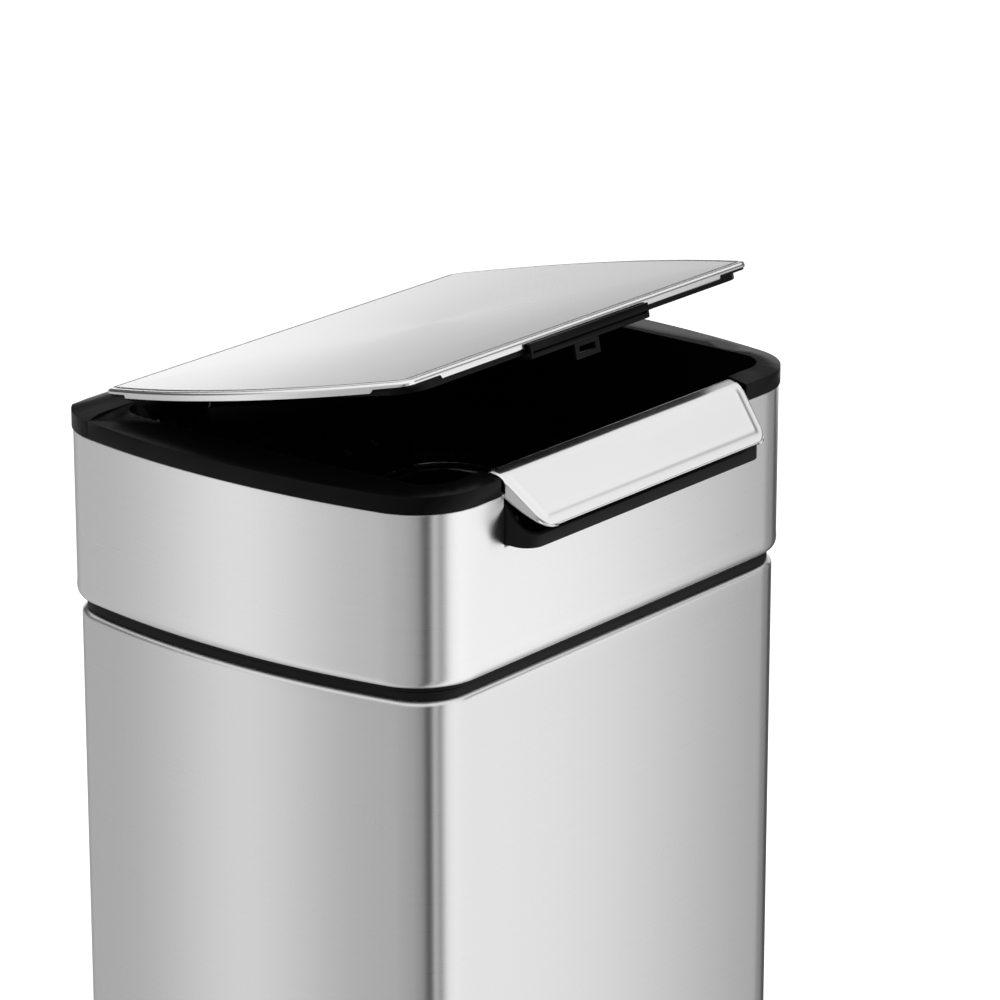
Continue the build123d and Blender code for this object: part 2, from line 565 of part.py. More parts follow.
def rear_cover():
    """Low dome over the lid's hinges, behind the mouth, with screw bosses and arm slots."""
    low = COVER_SEAT_Z - 5 * COVER_WALL
    cover = cover_form(0) - cover_form(COVER_WALL)
    cover = cover - HEAD.prism(-RIM_PROUD - 1, low, COVER_SEAT_Z)
    for x in COVER_SCREW_X:
        cover = cover + rod_z(COVER_BOSS_R, x, COVER_SCREW_Y, (TAB_Z[1], COVER_BOSS_TOP))
    for x in COVER_SCREW_X:
        hole = (TAB_Z[1] - 1, TAB_Z[0] + COVER_SCREW_LENGTH + SCREW_FIT)
        cover = cover - rod_z(COVER_SCREW_R + SCREW_FIT, x, COVER_SCREW_Y, hole)
    for slot in arm_slots(low - 1, COVER_CROWN_Z + 1):
        cover = cover - slot
    return cover


def cover_screws():
    one = Rot(180, 0, 0) * screw(COVER_SCREW_R, *COVER_SCREW_HEAD, COVER_SCREW_LENGTH)
    return group([Pos(x, COVER_SCREW_Y, TAB_Z[0]) * one for x in COVER_SCREW_X])


# ---------------------------------------------------------------- push bar and its tray
TRAY_HALF_X = BAR_TOP_HALF_X - 2.0
TRAY_FLOOR_Z = BAR_AXIS_Z - 14.5
TRAY_WALL = 2.5
TRAY_FRONT_Y = BAR_FOOT_Y + 8.0
TRAY_END_TOP = [(TRAY_FRONT_Y + y, BAR_AXIS_Z + z) for y, z in ((0.0, -7.0), (11.0, 0.5), (19.0, 11.0))]
TRAY_HEIGHT = 40.0
TRAY_CORNER = 12.0
TRAY_SCREW_R = 1.45
TRAY_SCREW_HEAD = (2.6, 1.6)
TRAY_SCREW_LENGTH = 4.4
TRAY_SCREW_X = (35.0, TRAY_HALF_X - 34.0)
TRAY_SCREWS = [(side * x, TRAY_FLOOR_Z + 8) for side in (-1, 1) for x in TRAY_SCREW_X]
BAR_PIN_R = 2.5
BAR_PIN_X = (TRAY_HALF_X - 19.0, TRAY_HALF_X - 3.0)
BAR_LUG_X = (TRAY_HALF_X - 18.0, TRAY_HALF_X - 11.0)
BAR_BOSS_X = (TRAY_HALF_X - 10.0, TRAY_HALF_X - 2.0)
BAR_BOSS_R = 5.5
BAR_LUG = (5.5, 14.0, 16.0)  # the lug's half width at the pivot, its reach forward and where it starts
SPRING_X = TRAY_HALF_X - 49.0
SPRING_Y = BAR_AXIS_Y - 12.0
SPRING_SEAT_Z = BAR_AXIS_Z + 8.0
SPRING_R = 4.5
SPRING_WIRE_R = 0.6
SPRING_TURNS = 6


BAR_CLEAR_DEPTH = 60.0


def bar_edge():
    """Outer line of the push bar in (y, z): rolled inner edge, knee, then the sloping face."""
    corners = [(BAR_INNER_Y, BAR_INNER_LIP_Z), (BAR_INNER_Y, BAR_TOP_Z),
               (BAR_KNEE_Y, BAR_KNEE_Z), (BAR_FOOT_Y, BAR_FOOT_Z)]
    return FilletPolyline(*corners, radius=[BAR_INNER_ROLL, BAR_KNEE_ROLL])


def bar_section():
    """Section of the bar with the sagging lower edge of its end flanges."""
    run = (BAR_FOOT_Y - BAR_KNEE_Y, BAR_FOOT_Z - BAR_KNEE_Z)
    length = hypot(*run)
    inward = (-run[1] / length, run[0] / length)
    middle = (BAR_KNEE_Y + run[0] * BAR_SAG_PLACE, BAR_KNEE_Z + run[1] * BAR_SAG_PLACE)
    sag = (middle[0] + inward[0] * BAR_FLANGE_SAG, middle[1] + inward[1] * BAR_FLANGE_SAG)
    inner = (BAR_INNER_Y - 5, BAR_INNER_LIP_Z + 1)
    return make_face([
        *bar_edge().edges(),
        ThreePointArc((BAR_FOOT_Y, BAR_FOOT_Z), sag, inner),
        Line(inner, (BAR_INNER_Y, BAR_INNER_LIP_Z)),
    ])


def bar_depth():
    """Section reaching far below the bar's face, to be drawn in and cut from it."""
    deep = BAR_FOOT_Z - BAR_CLEAR_DEPTH
    return make_face([
        *bar_edge().edges(),
        Line((BAR_FOOT_Y, BAR_FOOT_Z), (BAR_FOOT_Y, deep)),
        Line((BAR_FOOT_Y, deep), (BAR_INNER_Y, deep)),
        Line((BAR_INNER_Y, deep), (BAR_INNER_Y, BAR_INNER_LIP_Z)),
    ])


def bar_ends(inset):
    """Prism along Y that tapers the bar's ends and rounds its lower corners."""
    top, foot = BAR_TOP_HALF_X - inset, BAR_FOOT_HALF_X - inset
    low = BAR_FOOT_Z + inset
    start = BAR_TOP_Z - BAR_TAPER_TOP
    face = Polygon((-top, LID_TOP_Z), (-top, start), (-foot, low), (foot, low),
                   (top, start), (top, LID_TOP_Z), align=None)
    lowest = face.vertices().group_by(Axis.Y)[0]
    face = fillet(lowest, BAR_CORNER - inset)
    return slab_y(face, (2 * BAR_FOOT_Y, BAR_INNER_Y + BAR_CORNER))


def bar_skin():
    wide = (-BAR_TOP_HALF_X - 5, BAR_TOP_HALF_X + 5)
    outer = slab_x(bar_section(), wide) & bar_ends(0)
    inner = slab_x(offset(bar_depth(), -SHEET, kind=Kind.INTERSECTION), wide) & bar_ends(SHEET)
    return outer - inner


def bar_carrier():
    """Black moulding under the steel skin, with pivot lugs, spring seats and the latch's rib."""
    wide = (-BAR_TOP_HALF_X, BAR_TOP_HALF_X)
    solid = slab_x(offset(bar_depth(), -SHEET, kind=Kind.INTERSECTION), wide)
    hollow = slab_x(offset(bar_depth(), -SHEET - PLASTIC, kind=Kind.INTERSECTION), wide)
    keep = block(wide, (BAR_FOOT_Y, BAR_INNER_Y), (BAR_FOOT_Z + 2, LID_TOP_Z))
    shell = (solid - hollow) & bar_ends(SHEET + FIT) & keep
    shell = shell - block(wide, (BAR_INNER_Y - 6, BAR_INNER_Y),
                          (BAR_FOOT_Z - BAR_CLEAR_DEPTH, BAR_TOP_Z - 5))
    under = solid & block(wide, (BAR_FOOT_Y, BAR_INNER_Y - SHEET), (BAR_AXIS_Z - 8, LID_TOP_Z))
    half, reach, rise = BAR_LUG
    lug = make_face(Polyline((BAR_AXIS_Y - half, BAR_AXIS_Z), (BAR_AXIS_Y + half, BAR_AXIS_Z),
                             (BAR_AXIS_Y + half, LID_TOP_Z), (BAR_AXIS_Y - reach, LID_TOP_Z),
                             (BAR_AXIS_Y - reach, BAR_AXIS_Z + rise), close=True))
    parts = [shell]
    for side in (-1, 1):
        span = tuple(sorted(side * x for x in BAR_LUG_X))
        parts.append(slab_x(lug, span) & under)
        parts.append(rod_x(BAR_BOSS_R, span, BAR_AXIS_Y, BAR_AXIS_Z))
        parts.append(rod_z(SPRING_R + 1, side * SPRING_X, SPRING_Y, (SPRING_SEAT_Z, LID_TOP_Z)) & under)
    rib_y = (HOOK_BACK_Y - HOOK_RIB, HOOK_BACK_Y)
    parts.append(block((-HOOK_HALF, HOOK_HALF), rib_y, (HOOK_LOW_Z, LID_TOP_Z)) & under)
    carrier = joined(parts)
    return carrier - rod_x(BAR_PIN_R + PIN_FIT, wide, BAR_AXIS_Y, BAR_AXIS_Z)


def bar_tray():
    """Black tray that closes the bay under the bar and holds its pivots."""
    wide = (-TRAY_HALF_X, TRAY_HALF_X)
    back_y = MOUTH_FRONT_Y - PLASTIC
    plan = block(wide, (TRAY_FRONT_Y, back_y), (TRAY_FLOOR_Z, TRAY_FLOOR_Z + TRAY_HEIGHT))
    upright = plan.edges().filter_by(Axis.Z).group_by(Axis.Y)[0]
    plan = fillet(upright, TRAY_CORNER)
    inner = block((-TRAY_HALF_X + TRAY_WALL, TRAY_HALF_X - TRAY_WALL),
                  (TRAY_FRONT_Y + TRAY_WALL, back_y - TRAY_WALL), (TRAY_FLOOR_Z + TRAY_WALL, LID_TOP_Z))
    inner_edges = inner.edges().filter_by(Axis.Z).group_by(Axis.Y)[0]
    inner = fillet(inner_edges, TRAY_CORNER - TRAY_WALL)
    end_side = make_face([
        Line((back_y, TRAY_FLOOR_Z), (TRAY_FRONT_Y, TRAY_FLOOR_Z)),
        Line((TRAY_FRONT_Y, TRAY_FLOOR_Z), TRAY_END_TOP[0]),
        ThreePointArc(*TRAY_END_TOP),
        Line(TRAY_END_TOP[2], (back_y, TRAY_END_TOP[2][1])),
        Line((back_y, TRAY_END_TOP[2][1]), (back_y, TRAY_FLOOR_Z)),
    ])
    tray = (plan - inner) & slab_x(end_side, wide)
    parts = [tray]
    for side in (-1, 1):
        span = tuple(sorted(side * x for x in BAR_BOSS_X))
        parts.append(rod_x(BAR_BOSS_R, span, BAR_AXIS_Y, BAR_AXIS_Z))
        boss_z = (BAR_AXIS_Z - BAR_BOSS_R, BAR_AXIS_Z + BAR_BOSS_R)
        parts.append(block(span, (BAR_AXIS_Y, back_y - 1), boss_z))
        parts.append(rod_z(SPRING_R - 2 * SPRING_WIRE_R - FIT, side * SPRING_X, SPRING_Y,
                           (TRAY_FLOOR_Z + 1, TRAY_FLOOR_Z + TRAY_WALL + 5)))
    pin_x = (-BAR_PIN_X[1], BAR_PIN_X[1])
    tray = joined(parts) - rod_x(BAR_PIN_R + PIN_FIT, pin_x, BAR_AXIS_Y, BAR_AXIS_Z)
    for x, z in TRAY_SCREWS:
        tray = tray - rod_y(TRAY_SCREW_R + SCREW_FIT, x, (back_y - TRAY_WALL - 1, back_y + 1), z)
    return tray


def bar_pins():
    return group([rod_x(BAR_PIN_R, tuple(sorted(side * x for x in BAR_PIN_X)), BAR_AXIS_Y, BAR_AXIS_Z)
                  for side in (-1, 1)])


def bar_springs():
    """Two coil springs that lift the bar; each is one unbroken wire."""
    low = TRAY_FLOOR_Z + TRAY_WALL + SPRING_WIRE_R
    high = SPRING_SEAT_Z - SPRING_WIRE_R
    coil = Helix(pitch=(high - low) / SPRING_TURNS, height=high - low, radius=SPRING_R - SPRING_WIRE_R)
    wire = sweep(Plane(origin=coil @ 0, z_dir=coil % 0) * Circle(SPRING_WIRE_R), path=coil)
    right = Pos(SPRING_X, SPRING_Y, low) * wire
    return group([right, mirror(right, about=Plane.YZ)])


def tray_screws():
    one = Rot(90, 0, 0) * screw(TRAY_SCREW_R, *TRAY_SCREW_HEAD, TRAY_SCREW_LENGTH)
    seat = MOUTH_FRONT_Y - PLASTIC - TRAY_WALL
    return group([Pos(x, seat, z) * one for x, z in TRAY_SCREWS])


# ---------------------------------------------------------------- latch
HOOK_HALF = 7.0
HOOK_BACK_Y = BAR_AXIS_Y + 4.0
HOOK_THICK = 2.5
HOOK_RIB = 6.0
HOOK_LOW_Z = BAR_AXIS_Z + 14.0
HOOK_NOSE_Z = (BAR_AXIS_Z + 18.0, BAR_AXIS_Z + 21.0)
HOOK_TOP_Z = HOOK_NOSE_Z[1] + 3.5
HOOK_TIP_Y = MOUTH_FRONT_Y + 6.7
HOOK_TIP = (3.0, 1.0)        # slope and height of the nose's blunt end
TONGUE_THICK = 3.5
TONGUE_LOW_Z = HOOK_LOW_Z
TONGUE_WINDOW = (HOOK_NOSE_Z[0] - 0.5, HOOK_NOSE_Z[1] + 0.6)
WINDOW_HALF = HOOK_HALF + 1.0
TONGUE_HALF = WINDOW_HALF + 4.0


def latch_hook():
    """Hook behind the bar's inner edge; its nose catches in the lid's tongue."""
    stem_y = (HOOK_BACK_Y, HOOK_BACK_Y + HOOK_THICK)
    stem = block((-HOOK_HALF, HOOK_HALF), stem_y, (HOOK_LOW_Z, HOOK_TOP_Z))
    low, high = HOOK_NOSE_Z
    slope, blunt = HOOK_TIP
    nose = make_face(Polyline((stem_y[0], low), (HOOK_TIP_Y, low), (HOOK_TIP_Y, low + blunt),
                              (HOOK_TIP_Y - slope, high), (stem_y[0], high), close=True))
    return stem + slab_x(nose, (-HOOK_HALF, HOOK_HALF))


# ---------------------------------------------------------------- lid, drawn shut
PANEL_INSET = SHEET + 0.2
PANEL_UPPER_Z = LID_FLANGE_Z + 0.6
PANEL_LOWER_Z = LID_TOP_Z - 9.5
PANEL_WALL = 2.0
PANEL_EDGE = 1.4             # the panel's top steps in past the lid's rolled edge
PANEL_SIDE_GAP = 3.0
PANEL_REAR_GAP = 7.0
PANEL_CORNER = 18.0
PANEL = Outline(MOUTH_HALF_X - PANEL_SIDE_GAP, LID_FRONT_Y + PANEL_INSET,
                MOUTH_REAR_Y - PANEL_REAR_GAP, MOUTH_BOW, PANEL_CORNER)
STRIKER_HALF = 59.0
STRIKER_Z = (LID_TOP_Z - 13.2, LID_TOP_Z - 3.5)
STRIKER_FRONT_Y = MOUTH_FRONT_Y
STRIKER_FOOT = (LID_FRONT_Y + PANEL_INSET, LID_FRONT_Y + 15.2)
STRIKER_GROOVE_Z = (LID_TOP_Z - 9.7, LID_TOP_Z - 8.2)
STRIKER_GROOVE_DEPTH = 2.5
STRIKER_GROOVE_END = 2.0
STRIKER_ROLL = 1.6
NOTCH_X = LID_HALF_X - 30.6  # the flange is shallower round the lid's corners
NOTCH_Y = (LID_FRONT_Y + 22.2, LID_REAR_Y - 22.7)
NOTCH_HEIGHT = 2.3
LID_SCREW_R = 1.45
LID_SCREW_HEAD = (2.8, 1.6)
STRIKER_SCREW_X = STRIKER_HALF - 19.0
STRIKER_SCREW_Y = LID_FRONT_Y + 10.2
BUMPER_R = 4.0
BUMPER_X = LID_HALF_X + 6.4
BUMPERS = [(x, y) for x in (-BUMPER_X, BUMPER_X) for y in (-60.0, 40.0)]
BUMPER_LOW_Z = MOUTH_EDGE_Z + FIT


def lid_skin():
    """Steel lid: flat top with a rolled edge, a short flange, relieved at the corners."""
    outer = rolled(LID.prism(0, LID_FLANGE_Z, LID_TOP_Z), LID_EDGE_ROLL)
    inner = rolled(LID.prism(SHEET, LID_FLANGE_Z - 1, LID_TOP_Z - SHEET), LID_EDGE_ROLL - SHEET)
    skin = outer - inner
    low, high = LID_FLANGE_Z - 1, LID_FLANGE_Z + NOTCH_HEIGHT
    for side in (-1, 1):
        x = tuple(sorted((side * NOTCH_X, side * (LID_HALF_X + LID_BOW + BEYOND))))
        skin = skin - block(x, (LID_FRONT_Y - BEYOND, NOTCH_Y[0]), (low, high))
        skin = skin - block(x, (NOTCH_Y[1], LID_REAR_Y + BEYOND), (low, high))
    gap = (-STRIKER_HALF - FIT, STRIKER_HALF + FIT)
    return skin - block(gap, (LID_FRONT_Y - BEYOND, LID_FRONT_Y + 10), (low, STRIKER_Z[1] + 0.2))


def arm_foot_screws():
    return [(side * ARM_X, y) for side in (-1, 1) for y in ARM_SCREW_Y]


def lid_panel():
    """Black inner lid: an upper tray that fills the steel pan and a lower step inside the mouth."""
    top = LID_TOP_Z - SHEET
    solid = LID.prism(PANEL_INSET, PANEL_UPPER_Z, top - LID_EDGE_ROLL + SHEET)
    solid = solid + LID.prism(PANEL_INSET + PANEL_EDGE, PANEL_UPPER_Z, top)
    solid = solid + PANEL.prism(0, PANEL_LOWER_Z, PANEL_UPPER_Z + 1)
    hollow = LID.prism(PANEL_INSET + PANEL_EDGE + PANEL_WALL, PANEL_UPPER_Z + PANEL_WALL, top + 1)
    hollow = hollow + PANEL.prism(PANEL_WALL, PANEL_LOWER_Z + PANEL_WALL, top + 1)
    panel = solid - hollow
    through = (PANEL_LOWER_Z - 1, PANEL_LOWER_Z + PANEL_WALL + 1)
    for x, y in lid_panel_holes():
        panel = panel - rod_z(LID_SCREW_R + SCREW_FIT, x, y, through)
    return panel


def lid_panel_holes():
    return arm_foot_screws() + [(side * STRIKER_SCREW_X, STRIKER_SCREW_Y) for side in (-1, 1)]


def lid_striker():
    """Catch strip under the lid's front edge, with the tongue that the hook catches."""
    wide = (-STRIKER_HALF, STRIKER_HALF)
    low, high = STRIKER_Z
    front = block(wide, (STRIKER_FRONT_Y, STRIKER_FOOT[0]), (low, high))
    lower_edge = front.edges().filter_by(Axis.X).group_by(Axis.Z)[0]
    front = fillet(lower_edge.group_by(Axis.Y)[0], STRIKER_ROLL)
    foot = block(wide, (STRIKER_FOOT[0] - 1, STRIKER_FOOT[1]), (low, PANEL_LOWER_Z))
    groove = block((wide[0] + STRIKER_GROOVE_END, wide[1] - STRIKER_GROOVE_END),
                   (STRIKER_FRONT_Y - 1, STRIKER_FRONT_Y + STRIKER_GROOVE_DEPTH), STRIKER_GROOVE_Z)
    tongue = block((-TONGUE_HALF, TONGUE_HALF), (STRIKER_FOOT[0], STRIKER_FOOT[0] + TONGUE_THICK),
                   (TONGUE_LOW_Z, low + 1))
    window = block((-WINDOW_HALF, WINDOW_HALF), (STRIKER_FOOT[0] - 1, STRIKER_FOOT[0] + TONGUE_THICK + 1),
                   TONGUE_WINDOW)
    striker = front + foot - groove + (tongue - window)
    for side in (-1, 1):
        striker = striker - rod_z(LID_SCREW_R + SCREW_FIT, side * STRIKER_SCREW_X, STRIKER_SCREW_Y,
                                  (low - 1, PANEL_LOWER_Z + 1))
    return striker


def striker_screws():
    low = STRIKER_Z[0]
    one = Rot(180, 0, 0) * screw(LID_SCREW_R, *LID_SCREW_HEAD, PANEL_LOWER_Z + PANEL_WALL - low)
    return group([Pos(side * STRIKER_SCREW_X, STRIKER_SCREW_Y, low) * one for side in (-1, 1)])


def lid_bumpers():
    return group([rod_z(BUMPER_R, x, y, (BUMPER_LOW_Z, PANEL_UPPER_Z)) for x, y in BUMPERS])


# ---------------------------------------------------------------- lid arms and hinges
ARM_THICK = 9.0
ARM_ELBOW = (-42.0, 21.0)
ARM_FOOT_Y = (MOUTH_REAR_Y - 51.0, MOUTH_REAR_Y - 11.0)
ARM_FOOT_THICK = 4.0
ARM_SCREW_Y = (MOUTH_REAR_Y - 46.0, MOUTH_REAR_Y - 35.0)
ARM_LEAN = (2.0, 8.0)        # how far forward of the elbow the neck stands, below and above
ARM_FLARE = 2.0              # how much the neck widens each way towards the foot
BRACKET_BASE = 3.0
BRACKET_HALF = 30.0
BRACKET_Z = (LID_AXIS_Z - 14.3, COVER_SEAT_Z - FIT)
BRACKET_SCREW_X = (-22.0, 26.0)
BRACKET_SCREW_END = 6.0
CHEEK_THICK = 3.0
CHEEK_R = 9.5
INNER_CHEEK = (SLOT_HALF + FIT, SLOT_HALF + FIT + CHEEK_THICK)
OUTER_CHEEK = (18.5, 18.5 + CHEEK_THICK)
BRACKET_SCREW_R = 1.9
BRACKET_SCREW_HEAD = (3.6, 2.0)
DAMPER_R = 8.5
DAMPER_LENGTH = 14.0
DAMPER_CAP = 2.0
ROTOR_R = 4.8
TORSION_R = 6.0
TORSION_WIRE_R = 0.8
TORSION_TURNS = 4.5
TORSION_PITCH = 2.3
TORSION_GAP = 2.0
TORSION_LEG = 16.0


def lid_arm(side):
    """Swan-neck arm: hub on the pin, forward under the cover, then up to the lid."""
    x = (side * ARM_X - ARM_WIDTH / 2, side * ARM_X + ARM_WIDTH / 2)
    hub = (LID_AXIS_Y, LID_AXIS_Z)
    elbow = (hub[0] + ARM_ELBOW[0], hub[1] + ARM_ELBOW[1])
    foot_z = PANEL_LOWER_Z - ARM_FOOT_THICK
    half = ARM_THICK / 2
    slope = atan2(ARM_ELBOW[1], ARM_ELBOW[0])
    across = (-sin(slope) * half, cos(slope) * half)
    near, far = ARM_LEAN
    lower = make_face(Polyline(
        (hub[0] + across[0], hub[1] + across[1]), (elbow[0] + across[0], elbow[1] + across[1]),
        (elbow[0] - across[0], elbow[1] - across[1]), (hub[0] - across[0], hub[1] - across[1]), close=True))
    neck = make_face(Polyline(
        (elbow[0] - half - near, elbow[1]), (elbow[0] + half - near, elbow[1]),
        (elbow[0] + half - far + ARM_FLARE, foot_z + 1), (elbow[0] - half - far - ARM_FLARE, foot_z + 1),
        close=True))
    foot = block(x, ARM_FOOT_Y, (foot_z, PANEL_LOWER_Z))
    arm = joined([rod_x(HUB_R, x, *hub), slab_x(lower, x), rod_x(half, x, *elbow), slab_x(neck, x), foot])
    arm = arm + rod_x(ROTOR_R, side_span(side, (-INNER_CHEEK[1] - DAMPER_LENGTH + 2 * DAMPER_CAP, 0)), *hub)
    arm = arm - rod_x(LID_PIN_R + PIN_FIT, (side * ARM_X - 40, side * ARM_X + 40), *hub)
    for y in ARM_SCREW_Y:
        arm = arm - rod_z(LID_SCREW_R + SCREW_FIT, side * ARM_X, y, (foot_z - 1, PANEL_LOWER_Z + 1))
    return arm


def arm_screws():
    low = PANEL_LOWER_Z - ARM_FOOT_THICK
    one = Rot(180, 0, 0) * screw(LID_SCREW_R, *LID_SCREW_HEAD, ARM_FOOT_THICK + PANEL_WALL)
    return group([Pos(x, y, low) * one for x, y in arm_foot_screws()])


def side_span(side, span):
    """Turn a distance from the arm, counted outwards, into x values."""
    return tuple(sorted(side * (ARM_X + value) for value in span))


def bracket_screws(side):
    levels = (BRACKET_Z[0] + BRACKET_SCREW_END, BRACKET_Z[1] - BRACKET_SCREW_END)
    return [(side * (ARM_X + dx), z) for dx in BRACKET_SCREW_X for z in levels]


def hinge_bracket(side):
    """Bracket behind the mouth's rear wall: slotted base and two cheeks that hold the pin."""
    back = MOUTH_REAR_Y + PLASTIC
    base_x = side_span(side, (-BRACKET_HALF, BRACKET_HALF))
    base = block(base_x, (back, back + BRACKET_BASE), BRACKET_Z)
    slot = block(side_span(side, (-SLOT_HALF, SLOT_HALF)), (back - 1, back + BRACKET_BASE + 1),
                 (SLOT_LOW_Z, BRACKET_Z[1] + 1))
    low, high = LID_AXIS_Z - CHEEK_R, LID_AXIS_Z + CHEEK_R
    cheek = make_face(Polyline((back + 1, low), (LID_AXIS_Y, low), (LID_AXIS_Y, high), (back + 1, high),
                               close=True))
    parts = [base - slot]
    for reach in ((-INNER_CHEEK[1], -INNER_CHEEK[0]), OUTER_CHEEK):
        span = side_span(side, reach)
        parts.append(slab_x(cheek, span))
        parts.append(rod_x(CHEEK_R, span, LID_AXIS_Y, LID_AXIS_Z))
    outer, inner = side_span(side, (0, BRACKET_HALF + 1)), side_span(side, (-BRACKET_HALF - 1, 0))
    bracket = joined(parts)
    bracket = bracket - rod_x(LID_PIN_R + PIN_FIT, outer, LID_AXIS_Y, LID_AXIS_Z)
    bracket = bracket - rod_x(ROTOR_R + PIN_FIT, inner, LID_AXIS_Y, LID_AXIS_Z)
    for x, z in bracket_screws(side):
        bracket = bracket - rod_y(BRACKET_SCREW_R + SCREW_FIT, x, (back - 1, back + BRACKET_BASE + 1), z)
    return bracket


def bracket_screw_group():
    seat = MOUTH_REAR_Y + PLASTIC + BRACKET_BASE
    one = Rot(-90, 0, 0) * screw(BRACKET_SCREW_R, *BRACKET_SCREW_HEAD, BRACKET_BASE + PLASTIC)
    return group([Pos(x, seat, z) * one for side in (-1, 1) for x, z in bracket_screws(side)])


def lid_pins():
    """Pins that the arms turn on, from the outer cheek to the damper."""
    span = (-INNER_CHEEK[1] - DAMPER_LENGTH - 1, OUTER_CHEEK[1] + 1)
    return group([rod_x(LID_PIN_R, side_span(side, span), LID_AXIS_Y, LID_AXIS_Z) for side in (-1, 1)])


def lid_damper(side):
    """Rotary damper on the inner cheek; the arm's sleeve turns in it."""
    near, far = -INNER_CHEEK[1], -INNER_CHEEK[1] - DAMPER_LENGTH
    span = side_span(side, (far, near))
    body = rod_x(DAMPER_R, span, LID_AXIS_Y, LID_AXIS_Z)
    cavity = side_span(side, (far + DAMPER_CAP, near + 1))
    body = body - rod_x(ROTOR_R + PIN_FIT, cavity, LID_AXIS_Y, LID_AXIS_Z)
    return body - rod_x(LID_PIN_R + PIN_FIT, span, LID_AXIS_Y, LID_AXIS_Z)


def lid_spring(side):
    """Torsion spring beside the arm: one leg on the bracket's base, one hooked under the shut arm."""
    start = ARM_WIDTH / 2 + TORSION_GAP
    length = TORSION_TURNS * TORSION_PITCH
    coil = Helix(pitch=TORSION_PITCH, height=length, radius=TORSION_R)
    wire = sweep(Plane(origin=coil @ 0, z_dir=coil % 0) * Circle(TORSION_WIRE_R), path=coil)
    tilt = atan2(ARM_ELBOW[1], -ARM_ELBOW[0])
    base_y = MOUTH_REAR_Y + PLASTIC + BRACKET_BASE + FIT
    anchor = (LID_AXIS_Y - base_y + (TORSION_R - TORSION_WIRE_R) * sin(tilt)) / cos(tilt)
    first, last = coil @ 0, coil @ 1
    parts = [
        wire,
        rod_y(TORSION_WIRE_R, first.X, (-TORSION_LEG, first.Y), first.Z),
        rod_z(TORSION_WIRE_R, first.X, -TORSION_LEG, (-start, first.Z)),
        Pos(first.X, -TORSION_LEG, first.Z) * Sphere(TORSION_WIRE_R),
        rod_y(TORSION_WIRE_R, last.X, (-anchor, last.Y), last.Z),
    ]
    spring = Rot(-degrees(tilt), 0, 0) * Rot(0, 90, 0) * joined(parts)
    spring = Pos(ARM_X + start, LID_AXIS_Y, LID_AXIS_Z) * spring
    return spring if side > 0 else mirror(spring, about=Plane.YZ)


# ---------------------------------------------------------------- nodes

def standing_pieces():
    """Pieces of the body, which stands on the floor."""
    return {
        "base_tray": base_tray(),
        "foot_pads": foot_pads(),
        "base_screws": shell_screws(),
        "body_shell": body_shell(),
        "seam_ring": seam_ring(),
        "bag_hoop": bag_hoop(),
        "bin_liner": bin_liner(),
        "hinge_leaves_lower": hinge_leaf_lower(),
        "lower_leaf_screws": leaf_screw_group(BODY_HALF_Y, LOWER_LEAF_Z),
        "head_hinge_pins": head_hinge_pins(),
    }


def head_pieces():
    """Pieces of the head, which swings up at the back."""
    return {
        "head_band": head_band(),
        "rim_frame": rim_frame(),
        "foot_ring": foot_ring(),
        "frame_screws": frame_screws(),
        "rear_cover": rear_cover(),
        "cover_screws": cover_screws(),
        "hinge_leaves_upper": hinge_leaf_upper(),
        "upper_leaf_screws": leaf_screw_group(HEAD_BACK_Y, UPPER_LEAF_Z),
        "hinge_bracket_left": hinge_bracket(LEFT),
        "hinge_bracket_right": hinge_bracket(RIGHT),
        "bracket_screws": bracket_screw_group(),
        "lid_pins": lid_pins(),
        "lid_damper_left": lid_damper(LEFT),
        "lid_damper_right": lid_damper(RIGHT),
        "lid_spring_left": lid_spring(LEFT),
        "lid_spring_right": lid_spring(RIGHT),
        "bar_tray": bar_tray(),
        "tray_screws": tray_screws(),
        "bar_pins": bar_pins(),
        "bar_springs": bar_springs(),
    }


def bar_pieces():
    """Pieces of the push bar, which tips on its two pins."""
    return {
        "bar_skin": bar_skin(),
        "bar_carrier": bar_carrier(),
        "latch_hook": latch_hook(),
    }


def lid_pieces():
    """Pieces of the lid, drawn shut."""
    return {
        "lid_skin": lid_skin(),
        "lid_panel": lid_panel(),
        "lid_striker": lid_striker(),
        "striker_screws": striker_screws(),
        "lid_arm_left": lid_arm(LEFT),
        "lid_arm_right": lid_arm(RIGHT),
        "arm_screws": arm_screws(),
        "lid_bumpers": lid_bumpers(),
    }


def all_pieces():
    """Every node in the pose at rest, with the lid turned open by its rest angle."""
    lid = {name: piece.rotate(LID_AXIS, LID_REST_ANGLE) for name, piece in lid_pieces().items()}
    return {**standing_pieces(), **head_pieces(), **bar_pieces(), **lid}


os.makedirs("parts", exist_ok=True)
for node, piece in all_pieces().items():
    export_step(piece, f"parts/{node}.step")
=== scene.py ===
"""Brushed-steel kitchen bin with a push bar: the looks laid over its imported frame.

All sizes in the classes are in millimetres, in the frame of the part: +Z up from the floor,
the push bar facing -Y. Meshes are written in metres.
"""

import json
import logging
import math
from dataclasses import dataclass, field
from enum import Enum
from typing import Sequence

